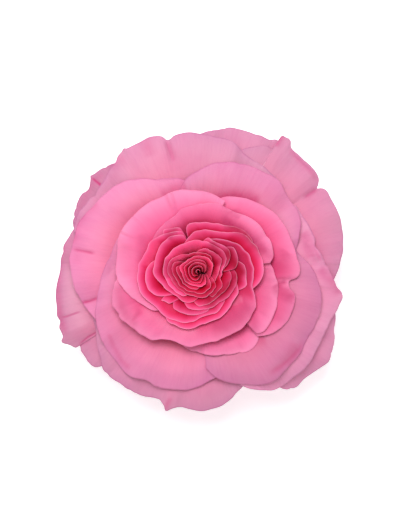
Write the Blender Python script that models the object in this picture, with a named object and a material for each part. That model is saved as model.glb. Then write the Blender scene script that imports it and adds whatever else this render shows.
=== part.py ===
"""An open garden rose bloom, cut just under the hip and resting upright on its cut end and five bent-back sepals.

Every petal is a thin solid of its own. All of them lie on one family of nested sheets that never cross:
the outer petals on sheets that spread out flat, the inner ones on sheets that stand almost upright.
Lengths are in millimetres until the meshes are made, which are in metres, +Z up.
"""

import math

import bpy
import numpy as np

PETAL_THICKNESS = 0.20
FOOT_THINNING = 0.35          # thickness at the claw, as a share of the thickness above it
PETAL_ROWS = {"outer": 7, "second": 7, "third": 7, "heart": 8}    # steps from claw to margin
SPREAD_STEP = 6.8             # and along a spreading petal's margin, as a length
SPREAD_TURN = 13.0            # or as an angle round the axis in degrees, where that is the smaller step
UPRIGHT_STEP = 3.2            # the same two for a petal that stands upright
UPRIGHT_TURN = 12.0
SEPALS = 5
SEPAL_TURN = 20.0             # degrees from +X to the first sepal
SEPAL_WIDTH = 9.0
SEPAL_THICKNESS = 0.8
SEPAL_PATH = [(9.3, -3.4), (16.0, -1.6), (25.0, -17.4), (34.0, -18.2)]   # radius and height
RECEPTACLE_SIDES = 28
# Radius and height down the outside of the hip, from the sepals to the cut end.
HIP = [(8.9, -2.1), (8.8, -3.0), (8.5, -4.2), (7.6, -5.2), (7.3, -7.2), (6.9, -9.6), (6.0, -12.0),
       (4.6, -14.0), (3.3, -15.4), (2.8, -16.6), (2.75, -18.3), (2.5, -18.6)]
RECEPTACLE_GAP = 0.35         # between the feet of the petals and the receptacle under them
# The flower's axis from the middle of the whole bloom, and how high the petals' lowest feet stand.
AXIS_AT = (0.05, 0.05, 18.6)

# One layout unit is 0.4 mm. The layout is the flower as seen from straight above,
# x to the right and y downwards; the flower's axis stands at (199, 271).
UNIT = 0.4
AXIS = (199.0, 271.0)

# Nested sheets that every petal lies on, from the axis (level 0) to the outermost
# (level 1.05). Each row: level, radius and height of the foot on the receptacle,
# radius and height of the far end, rise in degrees at the foot and at the far end,
# and how far each of these two slopes carries, as a share of the span. Millimetres.
SHEETS = [
    (0.00, 0.0, 7.4, 0.0, 24.0, 90.0, 90.0, 0.40, 0.30),
    (0.15, 2.9, 7.2, 9.6, 25.4, 92.0, 44.0, 0.50, 0.16),
    (0.30, 5.3, 6.5, 18.2, 27.6, 90.0, 30.0, 0.54, 0.20),
    (0.45, 7.1, 5.3, 27.0, 29.6, 84.0, 18.0, 0.54, 0.26),
    (0.60, 8.0, 3.8, 38.5, 28.0, 71.0, 0.0, 0.54, 0.34),
    (0.75, 8.6, 2.2, 52.0, 20.5, 60.0, -22.0, 0.50, 0.36),
    (0.90, 9.1, 0.6, 60.0, 13.0, 51.0, -31.0, 0.46, 0.38),
    (1.05, 9.5, -1.0, 62.5, 4.0, 42.0, -36.0, 0.42, 0.38),
]


def _control_table():
    rows = []
    for level, r0, z0, r1, z1, rise0, rise1, h0, h1 in SHEETS:
        span = math.hypot(r1 - r0, z1 - z0)
        a0, a1 = math.radians(rise0), math.radians(rise1)
        rows.append((
            (r0, z0),
            (r0 + h0 * span * math.cos(a0), z0 + h0 * span * math.sin(a0)),
            (r1 - h1 * span * math.cos(a1), z1 - h1 * span * math.sin(a1)),
            (r1, z1),
        ))
    return np.array(rows)  # sheets, 4, 2


_CTRL = _control_table()
_STEP = SHEETS[1][0] - SHEETS[0][0]


def sheet_controls(level):
    """The four guide points of the sheet at each level, blended smoothly between the rows."""
    x = np.clip(np.asarray(level, float) / _STEP, 0, len(SHEETS) - 1 - 1e-9)
    i = np.floor(x).astype(int)
    t = (x - i)[..., None, None]
    n = len(SHEETS) - 1
    p0, p1, p2, p3 = (_CTRL[np.clip(i + k, 0, n)] for k in (-1, 0, 1, 2))
    p0 = np.where((i == 0)[..., None, None], 2 * p1 - p2, p0)
    p3 = np.where((i + 2 > n)[..., None, None], 2 * p2 - p1, p3)
    return 0.5 * (2 * p1 + (p2 - p0) * t + (2 * p0 - 5 * p1 + 4 * p2 - p3) * t**2
                  + (3 * p1 - p0 - 3 * p2 + p3) * t**3)


def sheet(level, v):
    """Radius and height in mm on the sheet at this level, v going from the foot (0) to the far end (1)."""
    c = sheet_controls(level)
    v = np.asarray(v, float)[..., None]
    q = (c[..., 0, :] * (1 - v) ** 3 + 3 * c[..., 1, :] * v * (1 - v) ** 2
         + 3 * c[..., 2, :] * v**2 * (1 - v) + c[..., 3, :] * v**3)
    return q[..., 0], q[..., 1]


def v_at_radius(level, radius):
    """How far along its sheet a margin lies that stands at this radius."""
    vs = np.linspace(0.05, 1.12, 240)
    out = np.empty(len(level))
    for k, (s, r) in enumerate(zip(level, radius)):
        rr, _ = sheet(np.full_like(vs, s), vs)
        out[k] = np.interp(r, rr, vs)
    return out


def level_at_radius(v, radius):
    """Which sheet stands at this radius at v."""
    ss = np.linspace(0.0, 1.05, 420)
    out = np.empty(len(v))
    for k, (a, r) in enumerate(zip(v, radius)):
        rr, _ = sheet(ss, np.full_like(ss, a))
        out[k] = np.interp(r, rr, ss)
    return out


def margin(points, count):
    """A smooth line through hand-set layout points, as x and y in mm from the axis at count + 1 even steps."""
    p = np.array([((x - AXIS[0]) * UNIT, (AXIS[1] - y) * UNIT) for x, y in points])
    ends = np.vstack([2 * p[0] - p[1], p, 2 * p[-1] - p[-2]])
    line = []
    for i in range(1, len(ends) - 2):
        a, b, c, d = ends[i - 1:i + 3]
        k1, k2, k3 = (max(np.linalg.norm(q), 1e-6) ** 0.5 for q in (b - a, c - b, d - c))
        m1 = (b - a) / k1 - (c - a) / (k1 + k2) + (c - b) / k2
        m2 = (c - b) / k2 - (d - b) / (k2 + k3) + (d - c) / k3
        m1, m2 = m1 * k2, m2 * k2
        t = np.linspace(0, 1, 24, endpoint=False)[:, None]
        line.append(b + m1 * t + (3 * (c - b) - 2 * m1 - m2) * t**2 + (m1 + m2 - 2 * (c - b)) * t**3)
    line = np.vstack(line + [p[-1:]])
    run = np.concatenate([[0], np.cumsum(np.linalg.norm(np.diff(line, axis=0), axis=1))])
    at = np.linspace(0, run[-1], count + 1)
    return np.column_stack([np.interp(at, run, line[:, 0]), np.interp(at, run, line[:, 1])])


def smooth(x, a, b):
    t = np.clip((np.asarray(x, float) - a) / (b - a), 0, 1)
    return t * t * (3 - 2 * t)


def sunk(run, spec):
    """How far the margin sinks along its sheets. It slips under the neighbour over the last part of each end."""
    first, last = (max(length * UNIT, 0.4) for length in spec["tuck"])
    near = np.maximum(np.clip(1 - run / first, 0, 1), np.clip(1 - (run[-1] - run) / last, 0, 1))
    return spec["dip"] * near**1.5


def dips(line, spec):
    return sunk(np.concatenate([[0], np.cumsum(np.linalg.norm(np.diff(line, axis=0), axis=1))]), spec)


def spread_petal(spec, nu, ng):
    """A petal that opens outwards. Its margin is fixed by the layout, and it narrows to a claw at its foot."""
    m = margin(spec["margin"], nu)
    radius = np.hypot(m[:, 0], m[:, 1])
    angle = np.unwrap(np.arctan2(m[:, 1], m[:, 0]))
    lo, hi = angle.min(), angle.max()
    centre = 0.5 * (lo + hi)
    w = np.linspace(-1, 1, nu + 1) * (1 if angle[-1] > angle[0] else -1)
    claw = math.radians(spec.get("claw", 15.0))
    foot = centre + claw * w
    tilt = spec.get("tilt", 0.0)
    level_of = lambda a: spec["level"] + tilt * np.degrees(a - centre)
    v_rim = v_at_radius(level_of(angle), radius)
    g = np.linspace(0, 1, ng + 1) ** spec.get("rows", 0.74)
    widen = np.sin(0.5 * np.pi * np.clip(g / 0.62, 0, 1)) ** 1.15
    a = foot[:, None] + (angle - foot)[:, None] * widen[None, :]
    v = v_rim[:, None] * g[None, :]
    level = level_of(a)
    curl = spec.get("curl", 0.0)
    if curl:
        level = level + curl * smooth(g, 0.80, 1.0)[None, :] ** 1.5
    r, z = sheet(level, v)
    return np.stack([r * np.cos(a), r * np.sin(a), z], axis=-1), w, g


def upright_petal(spec, nu, ng):
    """A petal that stands up in the middle. Its margin is fixed by the layout; below it the petal keeps to its own line through the sheets."""
    m = margin(spec["margin"], nu)
    w = np.linspace(-1, 1, nu + 1)
    v_rim = spec["top"] - dips(m, spec)
    radius = np.hypot(m[:, 0], m[:, 1])
    level = level_at_radius(np.full(nu + 1, 0.985), radius)
    angle = np.unwrap(np.arctan2(m[:, 1], m[:, 0]))
    g = np.linspace(0, 1, ng + 1) ** spec.get("rows", 0.74)
    foot = spec.get("foot", 0.10)
    widen = foot + (1 - foot) * smooth(g, -0.25, 0.70)
    widen = widen / widen[-1]
    wg = w[:, None] * widen[None, :]
    s = np.interp(wg, w, level)
    a = np.interp(wg, w, angle)
    flare = spec.get("flare", 0.010)
    v = v_rim[:, None] * g[None, :]
    s = s - flare * (1 - smooth(v, 0.85, 0.985)) * np.clip(s / 0.1, 0, 1)
    r, z = sheet(np.maximum(s, 0.0), v)
    return np.stack([r * np.cos(a), r * np.sin(a), z], axis=-1), w, g


# Each petal's margin in layout units, in order around the flower. A spreading petal names its sheet level.
PETALS = {
    "petal_outer_1": dict(level=1, curl=0.006, margin=[
        (330, 270), (337, 290), (336, 309), (336, 322), (334, 332), (335, 340), (333, 350),
        (329.6, 361.6), (322, 367.2), (313, 373.6), (304.4, 380.4), (296, 387.2), (288, 389.6),
        (279, 387.4), (268, 380),
    ]),
    "petal_outer_2": dict(level=0.985, curl=0.006, margin=[
        (84, 222), (75, 228), (69, 236), (62.6, 249), (60.6, 259), (59, 275), (56, 290), (55, 300),
        (56.8, 310), (57.3, 316.5), (60, 321.6), (59, 328), (62, 337), (61, 342), (69, 345.2),
        (75.5, 347.6), (79.2, 345.4), (80.6, 351.6), (84.6, 357), (88, 362), (95, 367), (103, 366),
    ]),
    "petal_outer_3": dict(level=0.968, curl=0.006, margin=[
        (178, 150), (190, 140), (203, 133.2), (216, 129.4), (230, 127.4), (245, 130.6), (260, 135),
        (270, 140), (277, 140), (290, 150), (298, 162),
    ]),
    "petal_outer_4": dict(level=0.952, curl=0.006, margin=[
        (126, 166), (116, 163), (108, 165), (100, 170), (93, 174.6), (90.5, 176), (90.7, 178.6),
        (89.6, 184), (87.6, 189.4), (82, 194), (78, 202), (74, 213), (73, 222), (75, 232),
    ]),
    "petal_outer_5": dict(level=0.935, curl=0.008, margin=[
        (232, 156), (243, 149), (255, 147), (265, 146), (274.4, 147.8), (277.4, 142.8),
        (280.4, 137.4), (282.4, 135.3), (285, 136.6), (290, 140), (291.4, 147.4), (300, 156),
        (309.5, 165.3), (317.3, 174), (319.4, 180), (319.4, 185.2), (317, 188.4), (321.5, 188.6),
        (326, 191), (330, 197), (337, 209), (340, 220), (343, 235), (343, 248), (341, 258),
        (338, 270), (333, 281),
    ]),
    "petal_outer_6": dict(level=0.918, curl=0.008, margin=[
        (92, 312), (97, 335), (99, 352), (101.5, 363), (104.6, 370.6), (109, 375.2), (120, 383.4),
        (130, 390), (145, 396), (158, 399), (164, 405), (166, 410), (172, 408), (180, 407),
        (190, 409), (200, 410), (212, 409), (223, 405), (230.4, 398.4), (236, 392.4), (241, 387.8),
        (245, 382),
    ]),
    "petal_outer_7": dict(level=0.9, curl=0.008, margin=[
        (74, 232), (78, 215), (90, 200), (100, 187), (108, 174), (116.3, 162), (117.6, 157),
        (121, 152.3), (124.3, 148.4), (126.5, 149.2), (131, 147.8), (140, 143), (150, 137),
        (161, 137), (168, 141), (175, 136), (184, 133), (192, 133.2), (203, 135), (215, 137),
        (232, 142), (240, 150), (252, 160), (265, 169), (278, 181), (283, 192),
    ]),
    "petal_outer_8": dict(level=0.88, curl=0.008, margin=[
        (295, 206), (302, 217), (306, 222), (311, 231), (314, 240), (314, 246), (319, 252),
        (325, 264), (331, 276), (336, 286), (341, 291), (342, 297), (338.8, 304), (335.6, 310.4),
        (328, 325), (322, 337), (316, 350), (310, 361), (302, 370), (292, 378), (283, 385),
        (271, 389.4), (262, 389.6), (250, 388.2), (240, 384),
    ]),
    "petal_second_1": dict(level=0.835, curl=0.012, margin=[
        (190, 184), (180, 180), (160, 180), (140, 180), (127, 182), (116, 187), (105, 196),
        (95, 206), (85, 217), (78, 228), (75, 240), (73, 250), (71, 260), (72, 270), (74, 280),
        (77, 290), (81, 297), (84, 303), (90, 311), (100, 322),
    ]),
    "petal_second_2": dict(level=0.81, curl=0.012, margin=[
        (176, 197), (183, 185), (190, 177), (200, 171), (210, 166), (222, 164), (237, 164),
        (250, 168), (262, 173), (273, 178), (279, 184), (284, 194), (291, 204), (297, 213),
        (299, 224), (298, 236), (294, 252),
    ]),
    "petal_second_3": dict(level=0.785, curl=0.012, margin=[
        (130, 226), (124, 232), (118, 242), (112, 255), (107, 266), (103, 278), (100, 292),
        (98, 305), (97, 316), (99, 327), (104, 340), (110, 351), (119, 362), (132, 375),
        (148, 379), (158, 385), (170, 387), (182, 388), (195, 386), (206, 381), (215, 376),
        (230, 368),
    ]),
    "petal_second_4": dict(level=0.76, curl=0.012, margin=[
        (288, 244), (300, 257), (308, 266), (314, 275), (318, 287), (319, 300), (318, 312),
        (314, 323), (308, 333), (303, 342), (300, 350), (285, 367), (275, 378), (262, 382),
        (250, 383), (238, 382), (225, 379), (215, 375), (206, 366),
    ]),
    "petal_third_1": dict(level=0.7, curl=0.012, margin=[
        (184, 344), (191, 348), (203, 351), (217, 353), (235, 351), (250, 347), (257, 337),
        (255, 326),
    ]),
    "petal_third_2": dict(level=0.67, curl=0.012, margin=[
        (212, 204), (225, 199), (240, 200), (250, 203), (262, 208), (270, 213), (278, 222),
        (285, 232), (290, 245), (293, 255), (296, 264), (297, 272), (294, 277), (286, 281),
        (287, 288), (292, 293), (292, 300), (288, 312), (280, 325), (268, 332), (256, 334),
    ]),
    "petal_third_5": dict(level=0.6, tilt=-0.0006, curl=0.012, margin=[
        (254, 241), (258, 250), (262, 255), (265, 258), (268, 264), (271, 269), (273, 275),
        (275, 282), (275.5, 290), (275, 300), (273.5, 308), (270, 316), (266, 323), (261, 329),
        (255, 331), (250, 326),
    ]),
    "petal_third_4": dict(top=0.985, foot=0.12, tuck=(22, 26), dip=0.22, margin=[
        (205, 233.6), (210, 233.9), (214, 234.9), (219, 236.5), (225, 239), (230, 241.4),
        (235, 243.9), (240, 247), (244, 250.1), (247.5, 253), (250.2, 256.8), (252, 263),
        (253.2, 270), (253.4, 277), (252.9, 284), (253.4, 291), (254.8, 298), (255.2, 304),
        (254, 309.5), (251.5, 315.5), (246.5, 322.3), (239.5, 329), (230, 334.5), (218, 339.5),
        (205, 342.6), (191.5, 346), (185, 344.6), (175, 341.2), (165, 338.6), (155, 338.4),
        (148, 337.8), (141, 334.6), (135, 329), (130, 322.8), (124, 321), (119, 316.5),
        (115.8, 310), (113.6, 303), (113.2, 295), (113.9, 287.5), (115.6, 281), (116.8, 274),
        (117.2, 267), (117.6, 259),
    ]),
    "petal_third_3": dict(level=0.52, tilt=-0.0006, curl=0.01, margin=[
        (224, 203), (216, 198), (205, 194), (190, 192), (178, 193), (165, 198), (150, 205),
        (138, 215), (128, 226), (122, 237), (120, 250), (119, 262), (119, 272), (121, 282),
        (132, 295), (142, 302), (151, 307.6), (156, 309.3), (161, 308.6), (165, 306),
    ]),
    "petal_third_6": dict(level=0.497, tilt=-0.0006, curl=0.01, margin=[
        (152, 246), (156, 238), (160, 231), (164, 226), (170, 221), (176, 217), (182, 211),
        (188, 208.5), (196, 206.5), (204, 205.5), (212, 205.5), (220, 207), (226, 210), (232, 213),
        (240, 215.5), (248, 219.5), (255, 224), (260, 229), (264, 235), (268, 241), (270, 248),
        (271, 257), (268, 263),
    ]),
    "petal_heart_01": dict(top=0.985, tuck=(2, 24), dip=0.2, margin=[
        (187.4, 235.2), (186.4, 231), (186.3, 227.6), (189.5, 224.2), (197, 222.4), (208, 222.8),
        (220, 224.3), (231, 226.3), (240, 229.3), (247.5, 233.7), (254, 238.8), (259.5, 245),
        (263.5, 252),
    ]),
    "petal_heart_02": dict(top=0.975, tuck=(10, 3), dip=0.2, margin=[
        (156.4, 235), (158.9, 232.9), (162.4, 231), (167.6, 228.6), (174, 227.9), (179, 227.4),
        (183, 228.4),
    ]),
    "petal_heart_03": dict(top=1, tuck=(26, 36), dip=0.3, margin=[
        (171, 246.6), (176, 243), (181, 240.6), (185.5, 238.9), (190, 236.2), (195, 233),
        (200.5, 230.9), (210, 230.8), (222, 232), (232, 232.6), (240, 234), (245, 236.5),
        (250, 240.5), (255, 245.5), (257.3, 250), (259, 255), (260.5, 260), (261.8, 266),
        (263, 272), (263.8, 278), (263.4, 284), (262.3, 291), (261.3, 297.5), (260.5, 304),
    ]),
    "petal_heart_04": dict(top=1, tuck=(2, 28), dip=0.22, margin=[
        (184, 231.4), (180, 231.3), (172, 232.8), (165, 234.2), (160, 236.7), (155.5, 240.3),
        (150.3, 245.5), (146.3, 252.5), (141.6, 261.5), (139, 269), (138.4, 277), (139.3, 285.5),
        (142, 292), (145.3, 296.3), (150, 300.8), (154.5, 304.8), (160, 309.8), (165, 314.2),
        (170, 317.6), (175, 320), (182, 321.4), (190, 320.8), (196, 319), (203, 316.3), (209, 314),
        (216, 311.3), (222, 308.1), (227, 304.2), (231, 299.6), (234.3, 294.5),
    ]),
    "petal_heart_05": dict(top=0.99, tuck=(26, 16), dip=0.26, margin=[
        (152, 308.2), (157, 313), (163, 317.8), (170, 322), (176, 325), (182, 327.3), (188, 327.8),
        (196, 326), (204, 323.9), (212, 321), (219, 317.3), (225, 312), (229.5, 306.5), (233, 301),
        (236.3, 295.5), (239.6, 289.5), (242.6, 283.5), (243.9, 279),
    ]),
    "petal_heart_06": dict(top=0.97, tuck=(22, 14), dip=0.3, margin=[
        (153.4, 249), (150, 254.8), (146.6, 262.2), (145, 270), (145.3, 278), (146.6, 285.3),
        (149.3, 290.6), (155, 294.6), (162, 296), (168, 298.6), (173.5, 302),
    ]),
    "petal_heart_07": dict(top=0.975, tuck=(4, 8), dip=0.3, margin=[
        (158, 298.9), (161.5, 300), (165.5, 302.4), (170, 304.8), (176, 306.6),
    ]),
    "petal_heart_08": dict(top=0.98, tuck=(10, 10), dip=0.3, margin=[
        (165, 306), (170.5, 308.2), (176, 310.2), (182, 313.2), (190, 314.9), (198, 314.1),
        (205, 312.3), (211.4, 309.8), (215.8, 307.6),
    ]),
    "petal_heart_09": dict(top=0.985, tuck=(12, 28), dip=0.3, margin=[
        (177.5, 304), (182, 306.2), (188, 308.2), (195, 309.3), (203, 309), (210, 307.4),
        (217, 304.6), (223, 300.9), (228.5, 296.2), (233, 290.6), (236.6, 285), (239.5, 279.6),
        (241.5, 274), (242.4, 268), (242, 262),
    ]),
    "petal_heart_10": dict(top=0.975, tuck=(16, 20), dip=0.42, margin=[
        (238.6, 251.2), (241.2, 254.2), (243, 258.4), (244.7, 264), (246, 270), (246.9, 276),
        (247.2, 281.5), (247.9, 286.5), (248.2, 291), (247.2, 297), (244.8, 303),
    ]),
    "petal_heart_11": dict(top=0.975, tuck=(10, 5), dip=0.2, margin=[
        (225.5, 242.3), (229, 244.3), (232.3, 246.9), (235.2, 250.3), (237.4, 254), (238, 259),
        (237, 265), (235, 269), (232.3, 271.4),
    ]),
    "petal_heart_12": dict(top=0.99, tuck=(2, 16), dip=0.3, margin=[
        (185.5, 236.2), (183.5, 234.5), (179.5, 234.6), (174.5, 235.6), (169.5, 237.5),
        (165.3, 241.2), (161.3, 246.2), (158, 251.2), (155.3, 257.5), (153.8, 264), (153.6, 270.5),
        (155.2, 276.7), (160, 281.6), (166, 287.6), (172, 293.2), (177, 297.6), (182, 300.6),
        (187, 302.2), (194, 302.6), (200, 302), (204.5, 300.8),
    ]),
    "petal_heart_13": dict(top=0.98, tuck=(14, 24), dip=0.3, margin=[
        (186.5, 305.2), (193, 305.9), (200, 305.6), (207, 304), (213.5, 301), (219, 297),
        (224, 292), (228.5, 286), (232.2, 280.6), (235.5, 275.6), (238, 271), (239.5, 266),
    ]),
    "petal_heart_14": dict(top=0.975, tuck=(12, 20), dip=0.3, margin=[
        (197, 238.2), (203, 237.8), (209, 238.5), (215, 240.5), (220, 242.6), (224.5, 245.4),
        (228, 249.2), (230, 254), (230.4, 260), (230.3, 266), (229.8, 271.5), (229.2, 276),
    ]),
    "petal_heart_15": dict(top=0.985, tuck=(34, 14), dip=0.3, margin=[
        (224.6, 286.5), (225.7, 283), (226.2, 277), (226.9, 270.5), (227, 265), (226.7, 259.5),
        (225, 253.7), (221, 248.9), (214.5, 244.8), (207, 242.6), (200, 241), (194, 240.5),
        (188.5, 241.1), (183, 243.2), (176.5, 247.1), (170.6, 252), (166, 257.7), (163.7, 263.5),
        (163.6, 270), (165, 277), (168, 283.2), (172, 288.6), (177, 292.8), (182.5, 296.2),
        (188, 298.4), (193, 299.4),
    ]),
    "petal_heart_16": dict(top=0.97, tuck=(6, 16), dip=0.3, margin=[
        (208, 300.6), (212.5, 298.2), (217, 294.3), (220.5, 289.5), (222.3, 284.5), (223, 279.5),
        (223.8, 274.5), (223.9, 270),
    ]),
    "petal_heart_17": dict(top=0.97, tuck=(14, 24), dip=0.3, margin=[
        (190, 249), (197, 247.6), (204, 248), (210.5, 250.3), (217, 253.8), (221.2, 258.2),
        (222, 263.5), (221.4, 269), (220.4, 274), (219.8, 279), (219.6, 284), (218.3, 289),
    ]),
    "petal_heart_18": dict(top=0.98, tuck=(24, 10), dip=0.35, margin=[
        (218, 272), (217.7, 266), (215.6, 260.8), (212, 256.5), (206, 253.3), (199, 252.2),
        (192, 253), (187, 254), (180.5, 254.7), (176, 256.6), (172, 259.6), (169, 263),
        (167.6, 267.5), (168, 273), (170.6, 279.5), (175, 285.2), (181, 290.3), (187, 294),
        (194, 296.6), (202, 297.2), (208.5, 295.6), (213, 292.2), (216.2, 287.8), (217.1, 283),
        (217.2, 278),
    ]),
    "petal_heart_19": dict(top=0.97, tuck=(10, 12), dip=0.35, margin=[
        (183, 257.8), (178.5, 259.4), (174.8, 262.6), (172.4, 267), (172, 271.5), (173.5, 277),
        (177, 282.5), (182, 287.3), (188, 290.9), (194.5, 293.3), (201, 293.8), (206.5, 292.3),
        (210.1, 288.8), (212, 284), (211.9, 279), (211.6, 275.5),
    ]),
    "petal_heart_20": dict(top=0.96, tuck=(8, 10), dip=0.35, margin=[
        (181.2, 261.2), (178.2, 263.6), (176.2, 267.5), (176.2, 272), (178.3, 277.5),
        (182.3, 282.7), (187.5, 287), (193.5, 290), (200, 290.6), (205.3, 288.6),
    ]),
    "petal_heart_21": dict(top=0.97, tuck=(22, 8), dip=0.35, margin=[
        (214.7, 284), (214.8, 278.5), (214.7, 273), (214.2, 267.5), (212.4, 262.3), (208.8, 258),
        (203, 255.9), (196.5, 255.8), (190.8, 257.6), (186, 260.4), (182.2, 263.6), (180, 267.5),
        (180.3, 272.2), (182.5, 277.2), (186.4, 281.8), (191.3, 285.3), (197, 287.2),
        (202.5, 286.6), (206.5, 283.2), (208.6, 277.5),
    ]),
    "petal_heart_22": dict(top=0.955, tuck=(16, 8), dip=0.35, margin=[
        (210.8, 271.5), (210, 266.5), (207.4, 262.4), (203.5, 260), (198.5, 258.9), (193, 259.8),
        (188.6, 262), (185.2, 265), (183.6, 269), (184.2, 273.5), (186.6, 278), (190.6, 281.9),
        (195.4, 284), (200, 283.6), (203.6, 280.8), (205.3, 276.5),
    ]),
    "petal_heart_23": dict(top=0.96, tuck=(10, 8), dip=0.35, margin=[
        (207.8, 274), (208, 270), (206.8, 266), (204, 263.2), (200, 262), (195.5, 262.4),
        (191.3, 264.4), (188.3, 267.2), (187.4, 271), (188.6, 275.3), (191.7, 279), (195.6, 280.9),
        (199.5, 279.8), (202.3, 276.5),
    ]),
    "petal_heart_24": dict(top=0.945, tuck=(8, 5), dip=0.3, margin=[
        (204.6, 272.5), (204.2, 268.8), (202, 266.2), (198.6, 265.2), (194.9, 266.3), (192, 268.6),
        (191, 271.5), (192, 275), (194.6, 277.3), (198, 277),
    ]),
    "petal_heart_25": dict(top=0.93, tuck=(3, 3), dip=0.2, margin=[
        (200.4, 273.2), (200.8, 270.6), (199, 268.8), (196.6, 269.3), (195, 271.2), (195.4, 273.6),
        (197.4, 274.6),
    ]),
}


def move(points):
    return points + np.array(AXIS_AT)


def shell(grid, thickness, g):
    """A closed thin solid about a grid of points, thinner towards the foot."""
    across, along = np.gradient(grid, axis=0), np.gradient(grid, axis=1)
    normal = np.cross(across, along)
    normal /= np.maximum(np.linalg.norm(normal, axis=2, keepdims=True), 1e-9)
    half = 0.5 * thickness * (FOOT_THINNING + (1 - FOOT_THINNING) * smooth(g, 0.0, 0.8))[None, :, None]
    inner, outer = grid + normal * half, grid - normal * half
    n, k = grid.shape[:2]
    points = np.concatenate([inner.reshape(-1, 3), outer.reshape(-1, 3)])
    at = lambda i, j: i * k + j
    faces = []
    for i in range(n - 1):
        for j in range(k - 1):
            a, b, c, d = at(i, j), at(i + 1, j), at(i + 1, j + 1), at(i, j + 1)
            faces += [(a, b, c), (a, c, d), (n * k + a, n * k + c, n * k + b), (n * k + a, n * k + d, n * k + c)]
    rim = ([at(i, 0) for i in range(n)] + [at(n - 1, j) for j in range(1, k)]
           + [at(i, k - 1) for i in range(n - 2, -1, -1)] + [at(0, j) for j in range(k - 2, 0, -1)])
    for p, q in zip(rim, rim[1:] + rim[:1]):
        faces += [(p, n * k + p, n * k + q), (p, n * k + q, q)]
    return points, outward(points, faces)


def outward(points, faces):
    faces = np.array(faces)
    a, b, c = (points[faces[:, i]] for i in range(3))
    return faces if np.einsum("ij,ij->i", a, np.cross(b, c)).sum() > 0 else faces[:, ::-1]


def receptacle():
    """The dome that carries the petals, the hip below it and the short cut end, grown as one."""
    levels = np.linspace(0.02, 1.05, 9)
    r, z = sheet(levels, np.zeros_like(levels))
    dr, dz = np.gradient(r), np.gradient(z)
    length = np.hypot(dr, dz)
    r, z = r + RECEPTACLE_GAP * dz / length, z - RECEPTACLE_GAP * dr / length
    profile = [(max(a, 0.4), b) for a, b in zip(r, z)] + HIP
    n = RECEPTACLE_SIDES
    points = [(0.0, 0.0, profile[0][1])]
    for radius, height in profile:
        for i in range(n):
            a = 2 * math.pi * i / n
            points.append((radius * math.cos(a), radius * math.sin(a), height))
    points.append((0.0, 0.0, profile[-1][1]))
    faces = [(0, 1 + i, 1 + (i + 1) % n) for i in range(n)]
    for row in range(len(profile) - 1):
        for i in range(n):
            a, b = 1 + row * n + i, 1 + row * n + (i + 1) % n
            faces += [(a, a + n, b + n), (a, b + n, b)]
    last = 1 + (len(profile) - 1) * n
    faces += [(len(points) - 1, last + (i + 1) % n, last + i) for i in range(n)]
    points = np.array(points)
    return points, outward(points, faces)


def sepal_grid(turn, nu, ng):
    """The mid surface of one sepal: a narrow pointed leaf that arches out and bends down to the surface."""
    t = np.linspace(0, 1, ng + 1)
    p = np.array(SEPAL_PATH)
    b = np.stack([(1 - t) ** 3, 3 * t * (1 - t) ** 2, 3 * t**2 * (1 - t), t**3], axis=1) @ p
    half = 0.5 * SEPAL_WIDTH * (0.52 + 0.48 * smooth(t, 0.0, 0.3)) * (1 - smooth(t, 0.28, 1.06)) + 0.25
    u = np.linspace(-1, 1, nu + 1)
    side = u[:, None] * half[None, :]
    lift = 0.10 * half[None, :] * (u[:, None] ** 2)
    r = b[None, :, 0] + 0 * side
    z = b[None, :, 1] + lift
    r = np.sqrt(np.maximum(r**2 - 0.35 * side**2, 1.0))
    c, s = math.cos(turn), math.sin(turn)
    return np.stack([r * c - side * s, r * s + side * c, z], axis=-1), t


def steps_along(spec):
    """How many steps a petal's margin takes, from its length and from the angle that it spans."""
    line = margin(spec["margin"], 120)
    length = np.linalg.norm(np.diff(line, axis=0), axis=1).sum()
    turn = np.degrees(np.abs(np.diff(np.unwrap(np.arctan2(line[:, 1], line[:, 0])))).sum())
    if "tuck" in spec:
        return int(np.clip(max(length / UPRIGHT_STEP, turn / UPRIGHT_TURN), 8, 52))
    return int(np.clip(max(length / SPREAD_STEP, turn / SPREAD_TURN), 7, 20))


def make(name, points, faces, colour, roughness):
    mesh = bpy.data.meshes.new(name)
    mesh.from_pydata((move(points) * 0.001).tolist(), [], faces.tolist())
    mesh.update()
    material = bpy.data.materials.new(name)
    material.use_nodes = True
    shader = material.node_tree.nodes["Principled BSDF"]
    shader.inputs["Base Color"].default_value = (*colour, 1.0)
    shader.inputs["Roughness"].default_value = roughness
    mesh.materials.append(material)
    item = bpy.data.objects.new(name, mesh)
    bpy.context.scene.collection.objects.link(item)
    return item


def petal_colour(name):
    for word, colour in (("outer", (0.79, 0.33, 0.50)), ("second", (0.83, 0.27, 0.44)),
                         ("third", (0.86, 0.19, 0.38)), ("heart", (0.84, 0.11, 0.28))):
        if word in name:
            return colour


def build():
    for item in list(bpy.data.objects):
        bpy.data.objects.remove(item, do_unlink=True)
    for name, spec in PETALS.items():
        rows = next(n for word, n in PETAL_ROWS.items() if word in name)
        petal = upright_petal if "tuck" in spec else spread_petal
        grid, _, g = petal(spec, steps_along(spec), rows)
        make(name, *shell(grid, PETAL_THICKNESS, g), petal_colour(name), 0.55)
    make("receptacle", *receptacle(), (0.16, 0.27, 0.07), 0.55)
    for k in range(SEPALS):
        grid, t = sepal_grid(math.radians(SEPAL_TURN + 360.0 * k / SEPALS), 4, 11)
        make(f"sepal_{k + 1}", *shell(grid, SEPAL_THICKNESS, np.ones_like(t)), (0.13, 0.27, 0.06), 0.6)


build()
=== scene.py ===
"""An open garden rose bloom, cut under the hip and resting on a plain pale floor.

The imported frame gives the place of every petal, sepal and the receptacle. Each of them is
shown here by a finer piece of its own: the same layout and the same nested sheets, with
ripples, creases, rolled margins and thin rounded edges, and materials made of nodes.
Lengths are in millimetres until the meshes are made, which are in metres, +Z up.
"""

import math
import zlib

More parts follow.
